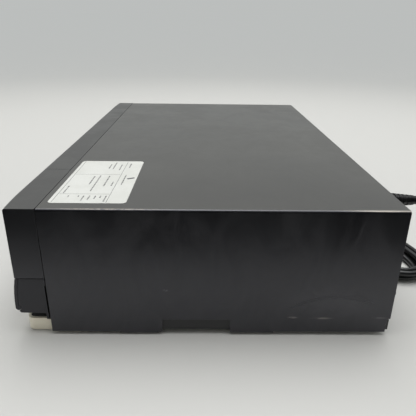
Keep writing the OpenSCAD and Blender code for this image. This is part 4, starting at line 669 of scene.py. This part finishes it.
# %% The main board and the front boards
GREEN, GREEN_TRACK = (0.014, 0.085, 0.032), (0.03, 0.15, 0.05)
SLEEVES = [(0.014, 0.014, 0.016), (0.018, 0.04, 0.12), (0.05, 0.05, 0.055)]
MAIN_FACE, FRONT_FACE = 19.0 * MM, (FRONT + 13.0) * MM
main_board = board("main_board", GREEN, GREEN_TRACK, "Z", MAIN_FACE, 1, SLEEVES)[0]
front_boards = board("front_boards", GREEN, GREEN_TRACK, "Y", FRONT_FACE, -1, SLEEVES[:1])[0]
print("green boards done")

# %% The power board with its wound transformer, and the capstan's coil board
POWER_FACE, COIL_FACE = 21.0 * MM, 22.0 * MM
PAPER_BOARD, PAPER_TRACK = (0.30, 0.19, 0.07), (0.38, 0.26, 0.10)
VARNISH, COPPER = (0.10, 0.075, 0.045), (0.55, 0.24, 0.10)
TRANSFORMER = [(33.5, 34.0), (84.5, 84.0)]  # its two ends, behind the board's front edge
power_board, tree, shader, where, parts = board(
    "power_board", PAPER_BOARD, PAPER_TRACK, "Z", POWER_FACE, 1, SLEEVES)
board_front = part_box("power_supply")[0].y
along = part_of(tree, where, "Y")
after, before = [ranged(tree, along, board_front + outside_it * MM, board_front + inside_it * MM)
                 for outside_it, inside_it in TRANSFORMER]
wound = product(tree, product(tree, after, before), parts)
over(shader, wound, VARNISH)
coil_board, tree, shader, where, parts = board(
    "coil_board", GREEN, GREEN_TRACK, "Z", COIL_FACE, 1, SLEEVES[:1])
over(shader, parts, COPPER)
print("transformer from", TRANSFORMER[0][1], "to", TRANSFORMER[1][1], "mm on its board")

# %% The front sockets' board, its sleeves nickel-plated
SOCKETS_WITHIN = 27 * MM  # the three sockets stand this close to the middle, the switches further out
socket_board, tree, shader, where, parts = board(
    "socket_board", GREEN, GREEN_TRACK, "Y", FRONT_FACE, -1, SLEEVES[:1])
across = add(tree, "Math", {0: part_of(tree, where, "X")}, operation="ABSOLUTE").outputs[0]
central = ranged(tree, across, SOCKETS_WITHIN + 1 * MM, SOCKETS_WITHIN)
nickel_plated(shader, product(tree, central, parts))
print("socket board:", len(tree.nodes), "nodes")

# %% [markdown]
# ## The smoked window
# The display sits behind a smoked acrylic window. It is a real sheet here, so light passes its front and
# its back face and is tinted by each. The tint is therefore lighter than the window looks, and the
# display's segments behind it stay just visible.

# %% Smoked acrylic
window_tint = finish(
    "window_tint", (0.24, 0.24, 0.26), (0.21, 0.21, 0.23), rough=(0.03, 0.07), drift=12.0,
    grain_depth=0.0005, round_mm=0.2, Transmission_Weight=1.0, IOR=1.49)[0]
print("window tint:", len(window_tint.node_tree.nodes), "nodes")

# %% [markdown]
# ## Nickel sleeves on the rear jack block
# The jack block and its phono sleeves are one solid. Everything that stands out behind the cover is a
# nickel-plated sleeve, and everything in front of that line is the black block. A mask on Y is both the
# mix between the two colours and the metallic value.

# %% Black block with nickel sleeves
jack_finish, tree, shader, where = finish(
    "jack_block", (0.02, 0.02, 0.021), (0.028, 0.028, 0.029), rough=(0.3, 0.4), round_mm=0.15)
behind = ranged(tree, part_of(tree, where, "Y"), (REAR - 0.1) * MM, (REAR + 0.1) * MM)
nickel_plated(shader, behind)
print("jack block:", len(tree.nodes), "nodes")

# %% [markdown]
# ## Give every solid its finish
# The solids came in with plain placeholder materials. The table names what each is made of. A solid's
# material slots are all set to its finish, which changes how it looks and leaves its mesh alone.

# %% Finish of every solid
keys = "power eject rewind play forward stop record pause channel_up channel_down".split()
finish_of = {
    cover_paint: "top_cover",
    black_screw: "cover_screws",
    chassis_steel: "base_chassis rear_panel",
    front_plastic: "front_panel front_end_left front_end_right cassette_door",
    flap_plastic: "lower_flap lower_panel",
    key_plastic: " ".join(k + "_button" for k in keys),
    window_tint: "display_window",
    front_boards: "display_board key_board",
    socket_board: "lower_key_board",
    main_board: "main_board",
    power_board: "power_supply",
    coil_board: "capstan_stator",
    silver_trim: "front_feet",
    foot_rubber: "front_foot_cores rear_feet pinch_roller",
    black_plastic: "cord_tie",
    slider_plastic: "loader_slider",
    reel_plastic: "supply_reel takeup_reel",
    cord_jacket: "strain_relief power_cord cord_hank plug",
    bright_screw: "deck_screws",
    tin_shield: "tuner_box loading_motor",
    deck_steel: "deck_plate pinch_arm tension_arm loader_frame cassette_holder",
    drum_alloy: "drum_base drum_rotor",
    polished_steel: "door_spring capstan supply_guide takeup_guide",
    nylon: "idler_arm idler_gear loading_worm mode_cam",
    head_block: "erase_head sound_head",
    jack_finish: "rear_jacks"}
dressed = set()
for look, names in finish_of.items():
    for name in names.split():
        solid = frame["nodes"][name]
        solid.data.materials.clear()
        solid.data.materials.append(look)
        dressed.add(name)
print("dressed:", len(dressed), "still plain:", sorted(set(frame["nodes"]) - dressed))

# %% [markdown]
# ## The plug
# The lead ends in a moulded two-blade plug. Its body is one slab with round edges, gripped by raised
# ribs, the boot is turned with rings so that it bends, and the blades are flat brass with chamfered tips.
# The plug lies on the hank's level, its flat side down.

# %% Plug body with grip ribs
BOOT, BODY = 16.0, 26.0  # lengths of the boot and of the body
BODY_WIDE, BODY_HIGH = 22.0, 18.4
RIB, RIBS, RIB_STEP = (1.3, 0.9, 12.0), 5, 3.4
FIRST_RIB, RIB_OUT = -6, 10.8  # from the body's middle, along it and to each side
plug_shape = bmesh.new()
body_middle = hank_end - Vector((BOOT + BODY / 2, 0, 0))
slab(plug_shape, body_middle, (BODY, BODY_WIDE, BODY_HIGH), corner=4.0, axis=0)
end_edges = [e for e in plug_shape.edges
             if e.calc_length() > 1e-4 and abs(e.verts[0].co.x - e.verts[1].co.x) < 1e-6]
bevelled(plug_shape, end_edges, 1.4, segments=3)
for i in range(RIBS):
    for side in (-1, 1):
        rib = body_middle + Vector((FIRST_RIB + RIB_STEP * i, side * RIB_OUT, 0))
        slab(plug_shape, rib, RIB, corner=0.4, axis=2, segments=2)
print("plug's body and ribs:", len(plug_shape.faces), "faces")

# %% Ringed boot, which grows from the lead to the body
BOOT_RINGS, RING_STEP, RING_GROWTH = 6, 2.4, 0.4
outline = [(0, 0.6), (3.1, 0.6)]
for i in range(BOOT_RINGS):
    grown, along = RING_GROWTH * i, RING_STEP * i
    outline += [(3.3 + grown, 1.0 + along), (3.3 + grown, 2.2 + along)]
    outline += [(2.8 + grown, 2.4 + along), (2.8 + grown, 3.2 + along)]
outline += [(5.6, BOOT + 0.5), (0, BOOT + 0.5)]
turned(plug_shape, outline, hank_end, (-1, 0, 0))
plug = piece("plug_moulding", plug_shape, "casing", cord_jacket)
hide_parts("plug")

# %% Brass blades
BLADE, BLADE_SIDE = (16.2, 1.5, 6.3), 6.35
BLADE_OUT = 7.9  # from the body's end to a blade's middle
blade_shape = bmesh.new()
for side in (-1, 1):
    blade = hank_end + Vector((-BOOT - BODY - BLADE_OUT, side * BLADE_SIDE, 0))
    slab(blade_shape, blade, BLADE, corner=1.2, axis=1, segments=3)
blades = piece("plug_blades", blade_shape, "casing", brass)

lead_line.materials.append(cord_jacket)
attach(lead, "casing")
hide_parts("power_cord", "cord_hank")
print("lead leaves at", [round(v, 1) for v in RELIEF], "mm and carries", plug.name, "and", blades.name)

# %% [markdown]
# ## The paper label
# A white label with rounded corners is stuck on the cover near the front. It is a printed form: ruled
# lines and short grey dashes where small print would be. The paper is a slab less than a tenth of a
# millimetre thick. Ruling and dashes are thinner slabs on it, so that they are real surfaces in the export.

# %% Paper and ink
label_paper = finish(
    "label_paper", (0.62, 0.625, 0.595), (0.58, 0.585, 0.55), rough=(0.55, 0.7), drift=45.0,
    grain_scale=1500.0, grain_depth=0.01, round_mm=0.05)[0]
label_ink = finish(
    "label_ink", (0.12, 0.12, 0.12), (0.19, 0.19, 0.19), rough=(0.6, 0.75), drift=300.0,
    round_mm=0.01)[0]
dark_ink = finish("dark_ink", (0.03, 0.03, 0.04), (0.06, 0.06, 0.07), rough=(0.5, 0.6), round_mm=0.01)[0]
print("paper and inks done")

# %% The paper
LABEL_X = (104.5, 204.0)
LABEL_DEPTH = (25.0, 78.0)
PAPER = 0.08  # thickness


def on_label(x, depth, lift=0.0):
    """A point over the paper, in millimetres."""
    return Vector((x, FRONT + depth, TOP + PAPER + lift))


label_shape = bmesh.new()
slab(label_shape, on_label(sum(LABEL_X) / 2, sum(LABEL_DEPTH) / 2, -PAPER / 2),
     (LABEL_X[1] - LABEL_X[0], LABEL_DEPTH[1] - LABEL_DEPTH[0], PAPER), corner=3.2, segments=6)
piece("top_label", label_shape, "casing", label_paper)

# %% Ruled lines and rows of dashes
INK, RULE = 0.02, 0.35  # thickness of the ink, width of a ruled line
DASH_LONG, DASH_WIDE, DASH_GAP = (1.4, 4.0), (0.8, 1.1), 0.7
RULES = [(105.5, 202.3, 27.6), (106.3, 203.0, 64.4)]
CROSS = [(142.0, 28.0, 63.6), (186.6, 28.6, 63.6)]
ROWS = [(114, 126.7, 51.5), (109, 127.7, 55.0), (114.9, 130.8, 60.6), (147, 166, 44.5), (145, 180.8, 48.8),
        (145.7, 170, 56.0), (160, 169, 61.4), (170, 185, 30.8), (190, 193, 36), (190, 192.5, 43),
        (190, 200, 46.6), (190, 198, 50.7), (190, 196, 54.8), (190, 194, 58.4), (190, 201, 62.2),
        (143, 167, 68.5), (112, 124, 68.0)]
random.seed(4)
print_shape = bmesh.new()
for x0, x1, depth in RULES:
    slab(print_shape, on_label((x0 + x1) / 2, depth, INK / 2), (x1 - x0, RULE, INK))
for x, d0, d1 in CROSS:
    slab(print_shape, on_label(x, (d0 + d1) / 2, INK / 2), (RULE, d1 - d0, INK))
dashes = 0
for x0, x1, depth in ROWS:
    x = x0
    while x < x1:
        long = min(random.uniform(*DASH_LONG), x1 - x)
        wide = random.uniform(*DASH_WIDE)
        slab(print_shape, on_label(x + long / 2, depth, INK / 2), (long, wide, INK))
        x += long + DASH_GAP
        dashes += 1
print("dashes on the label:", dashes)
piece("label_ruling", print_shape, "casing", label_ink)

# %% A pen tick
TICK, TICK_PLACE, TICK_TURN = (6.4, 2.4, INK), (151.4, 73.4), math.radians(119)
tick_shape = bmesh.new()
slab(tick_shape, (0, 0, 0), TICK, corner=1.1, segments=3)
laid = Matrix.Translation(on_label(*TICK_PLACE, INK / 2) * MM) @ Matrix.Rotation(TICK_TURN, 4, "Z")
bmesh.ops.transform(tick_shape, verts=tick_shape.verts, matrix=laid)
piece("label_tick", tick_shape, "casing", dark_ink)

# %% [markdown]
# ## Signs on the keys
# Every key carries the usual sign of its job: triangles for the tape's directions, a square for stop, a
# round dot for record. On the real keys they are printed or engraved and filled. Here each is a flat
# shape raised by a few hundredths of a millimetre, and it rides on its own key, so it moves when pressed.

# %% Print colours
key_print = finish("key_print", (0.46, 0.46, 0.45), (0.42, 0.42, 0.41), rough=(0.4, 0.5), round_mm=0.02)[0]
record_print = finish(
    "record_print", (0.45, 0.03, 0.02), (0.40, 0.03, 0.02), rough=(0.4, 0.5), round_mm=0.02)[0]
print("print colours done")

# %% Shapes: (sides, across, up, width, height, turned by) from the middle of the key's face
LEFT, RIGHT, UP, DOWN = 90.0, -90.0, 0.0, 180.0
SUNK = 0.01  # a sign's back lies this far inside its key
SIGNS = {
    "power": [(24, 0, 0, 4.2, 4.2, 0)],
    "eject": [(3, 0, 0.7, 5.4, 3.4, UP), (4, 0, -1.9, 6.2, 1.2, 45)],
    "rewind": [(3, -1.3, 0, 3.6, 3.8, LEFT), (3, 1.5, 0, 3.6, 3.8, LEFT)],
    "play": [(3, 0.2, 0, 4.4, 4.4, RIGHT)],
    "forward": [(3, -1.5, 0, 3.6, 3.8, RIGHT), (3, 1.3, 0, 3.6, 3.8, RIGHT)],
    "stop": [(4, 0, 0, 4.2, 4.2, 45)],
    "record": [(20, 0, 0, 3.0, 3.0, 0)],
    "pause": [(4, -0.9, 0, 1.2, 4.0, 45), (4, 0.9, 0, 1.2, 4.0, 45)],
    "channel_up": [(3, 0, 0, 4.0, 3.6, UP)],
    "channel_down": [(3, 0, 0, 4.0, 3.6, DOWN)]}
for key, shapes in SIGNS.items():
    low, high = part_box(key + "_button")
    face = Vector(((low.x + high.x) / 2, low.y + SUNK * MM, (low.z + high.z) / 2))
    sign_shape = bmesh.new()
    for sides, across, above, width, height, turned_by in shapes:
        sign(sign_shape, face + Vector((across, 0, above)) * MM, sides, width, height, turned_by)
    ink = record_print if key == "record" else key_print
    piece(key + "_sign", sign_shape, key + "_button", ink)

# %% [markdown]
# ## The display behind the window
# A fluorescent display shows grey-green segments even when it is off. Four digits are built from seven
# bars each, with a colon between them, just in front of the display's glass block.

# %% Seven-bar digits and the colon
SEGMENT_DEPTH, RAISED = 3.0, 0.1
FIRST_DIGIT, DIGIT_STEP, COLON_GAP = -17.5, 10.5, 3.5
LYING, STANDING = (4.4, 0.9), (0.9, 4.0)  # width and height of a bar
BARS = [(0, 5, LYING), (0, 0, LYING), (0, -5, LYING), (-2.8, 2.5, STANDING), (2.8, 2.5, STANDING),
        (-2.8, -2.5, STANDING), (2.8, -2.5, STANDING)]
DIAGONAL = 1.414  # a sign's width is measured over its corners, so a bar's sides grow by this
segment_tone = finish(
    "segment_tone", (0.46, 0.60, 0.55), (0.42, 0.55, 0.50), rough=(0.3, 0.4), round_mm=0.02)[0]
window_low, window_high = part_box("display_window")
middle = (window_low + window_high) / 2
digit_shape = bmesh.new()
for digit in range(4):
    x = middle.x / MM + FIRST_DIGIT + digit * DIGIT_STEP + (COLON_GAP if digit > 1 else 0)
    for across, above, (width, height) in BARS:
        place = Vector((x + across, FRONT + SEGMENT_DEPTH, middle.z / MM + above)) * MM
        sign(digit_shape, place, 4, width * DIAGONAL, height * DIAGONAL, 45, raised=RAISED)
for above in (-2.2, 2.2):
    place = Vector((middle.x / MM + 0.2, FRONT + SEGMENT_DEPTH, middle.z / MM + above)) * MM
    sign(digit_shape, place, 12, 1.2, 1.2, 0, raised=RAISED)
piece("display_segments", digit_shape, "casing", segment_tone)

# %% [markdown]
# ## Colour inserts and threads of the sockets
# Phono sockets are told apart by colour: yellow for the picture, white and red for the two sound
# channels. The inserts are rings inside the nickel sleeves, on the rear block and in the row behind the
# flap. The aerial sockets have a screw thread, made as a sleeve with sharp rings. All are turned shapes.
# The record gives the places of the rear ones, and the front ones lie as high as the record key.

# %% Phono inserts, rear and front
INSERT = [(1.7, -0.72), (3.25, -0.72), (3.25, -5.0), (1.7, -5.0)]
REAR_MOUTH = 9.0  # the rear sleeves end this far behind the cover
FRONT_MOUTH, FRONT_JACKS = 3.9, {"yellow": -20, "white": 0, "red": 20}
ROW_COLOURS = [("red", (0.50, 0.02, 0.02)), ("white", (0.72, 0.71, 0.68)), ("yellow", (0.75, 0.50, 0.03))]
SHADE = 0.9  # the mottle's second tone is this share of the first
sockets = {m["name"]: Vector(m["pos_m"]) / MM for m in frame["record"]["mounts"]}
jack_height = sum(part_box("record_button"), Vector()).z / 2 / MM
for row, (word, tone) in enumerate(ROW_COLOURS):
    tint = finish("phono_" + word, tone, tuple(SHADE * t for t in tone), rough=(0.35, 0.45),
                  round_mm=0.1)[0]
    ring_shape = bmesh.new()
    for column in range(2):
        middle = sockets["phono_socket_%d" % (1 + row + 3 * column)]
        turned(ring_shape, INSERT, (middle.x, REAR + REAR_MOUTH, middle.z), (0, 1, 0), steps=24, ring=True)
    turned(ring_shape, INSERT, (FRONT_JACKS[word], FRONT + FRONT_MOUTH, jack_height), (0, -1, 0),
           steps=24, ring=True)
    piece("phono_insert_" + word, ring_shape, "casing", tint)

# %% Threads on the aerial sockets
BORE, ROOT, CREST = 4.6, 4.78, 4.98
THREADS, THREAD_STEP = 9, 0.85
THREAD_START, THREAD_END = 0.4, 8.4
profile = [(BORE, THREAD_START), (ROOT, THREAD_START)]
for i in range(THREADS):
    along = THREAD_STEP * i
    profile += [(ROOT, 0.6 + along), (CREST, 0.95 + along), (CREST, 1.05 + along)]
profile += [(ROOT, THREAD_END), (BORE, THREAD_END)]
thread_shape = bmesh.new()
for number in (1, 2):
    middle = sockets["aerial_socket_%d" % number]
    turned(thread_shape, profile, (middle.x, REAR, middle.z), (0, 1, 0), steps=36, ring=True)
piece("aerial_threads", thread_shape, "casing", bright_screw, smooth=20.0)

# %% [markdown]
# ## The stage
# The recorder stands on a pale seamless sweep: a floor that curves up into a wall all round, made by
# turning one outline. Near the recorder it is a matt floor that takes the shadow. Further out the camera
# and the reflections see its even pale grey, by a mix on Light Path, while the lamps stay at a plain level.

# %% Sweep
FLAT, BEND_RADIUS, WALL_TOP, BEND_STEPS = 1600, 1200, 3600, 12
sweep_outline = [(0, 0), (400, 0), (900, 0), (FLAT, 0)]
for step in range(1, BEND_STEPS + 1):
    angle = math.radians(90 / BEND_STEPS * step)
    sweep_outline.append((FLAT + BEND_RADIUS * math.sin(angle), BEND_RADIUS - BEND_RADIUS * math.cos(angle)))
sweep_outline.append((FLAT + BEND_RADIUS, WALL_TOP))
sweep_shape = bmesh.new()
turned(sweep_shape, sweep_outline, (0, 0, 0), (0, 0, 1), steps=96)
bmesh.ops.recalc_face_normals(sweep_shape, faces=sweep_shape.faces)
bmesh.ops.reverse_faces(sweep_shape, faces=sweep_shape.faces)
sweep = to_object("studio_sweep", sweep_shape)
sweep.data.polygons.foreach_set("use_smooth", [True] * len(sweep.data.polygons))
print("sweep faces:", len(sweep.data.polygons))

# %% Pale grey of the sweep
FLOOR_TONE, WALL_TONE = (0.575, 0.572, 0.552), (0.50, 0.515, 0.508)
FADE = (0.7, 2.4)  # the even grey begins and is full this far out, in metres
sweep_look = bpy.data.materials.new("studio_grey")
sweep_look.use_nodes = True
tree = sweep_look.node_tree
shader = tree.nodes["Principled BSDF"]
shader.inputs["Base Color"].default_value = (*FLOOR_TONE, 1)
shader.inputs["Roughness"].default_value = 0.9
shader.inputs["Specular IOR Level"].default_value = 0.1
where = add(tree, "TexCoord").outputs["Object"]
distance = add(tree, "VectorMath", {0: where}, operation="LENGTH")
far_out = ranged(tree, distance.outputs["Value"], *FADE)
path = add(tree, "LightPath").outputs
seen = add(tree, "Math", {0: path["Is Camera Ray"], 1: path["Is Glossy Ray"]}, operation="MAXIMUM")
seen = add(tree, "Math", {0: seen.outputs[0], 1: path["Is Transmission Ray"]}, operation="MAXIMUM")
how_much = product(tree, far_out, seen.outputs[0])
glow = add(tree, "Emission", {"Color": (*WALL_TONE, 1), "Strength": 1.0})
surface = add(tree, "MixShader", {0: how_much, 1: shader.outputs[0], 2: glow.outputs[0]})
tree.links.new(surface.outputs[0], tree.nodes["Material Output"].inputs["Surface"])
sweep.data.materials.append(sweep_look)
print("studio grey:", len(tree.nodes), "nodes")

# %% [markdown]
# ## A dark card for the reflections
# Satin black shows what stands in front of it. In the photograph the upper half of the near side and the
# long bend are nearly black, because they mirror the dark room behind the camera. A dark card stands
# there. Only reflections see it: it throws no shadow, and it is never in the picture.

# %% Dark card
CARD_MIDDLE, CARD_SIZE = (337.0, 0, 500), (4.0, 2000.0, 1000.0)
card_cloth = finish("card_cloth", (0.004, 0.004, 0.004), (0.006, 0.006, 0.006), rough=(0.8, 0.9))[0]
card_shape = bmesh.new()
slab(card_shape, CARD_MIDDLE, CARD_SIZE)
card = to_object("dark_card", card_shape)
card.data.materials.append(card_cloth)
card.visible_camera = card.visible_diffuse = card.visible_shadow = card.visible_transmission = False
print("dark card stands at", CARD_MIDDLE[0], "mm")

# %% [markdown]
# ## Light
# One large soft lamp hangs over the recorder, so that every side is in its own shade and the shadow on
# the floor stays short and soft. A pale world fills the rest. The two together are set so that a surface
# facing up renders about as its colour is written.

# %% Lamp and world
LAMP_PLACE, LAMP_TARGET = Vector((-0.25, 0.05, 2.2)), Vector((0, 0, 0.05))
LAMP_SIZE, LAMP_POWER = 2.2, 53.0
WORLD_TONE, WORLD_STRENGTH = (0.95, 0.98, 1.0), 0.72
lamp_data = bpy.data.lights.new("overhead_lamp", "AREA")
lamp_data.shape = "RECTANGLE"
lamp_data.size = lamp_data.size_y = LAMP_SIZE
lamp_data.energy = LAMP_POWER
lamp = bpy.data.objects.new("overhead_lamp", lamp_data)
bpy.context.collection.objects.link(lamp)
lamp.location = LAMP_PLACE
lamp.rotation_euler = (LAMP_TARGET - LAMP_PLACE).to_track_quat("-Z", "Y").to_euler()
world = bpy.data.worlds.new("studio_world")
bpy.context.scene.world = world
world.use_nodes = True
background = world.node_tree.nodes["Background"].inputs
background["Color"].default_value = (*WORLD_TONE, 1)
background["Strength"].default_value = WORLD_STRENGTH
bpy.context.scene.view_settings.view_transform = "Standard"
print("lamp at", [round(v, 2) for v in lamp.location])
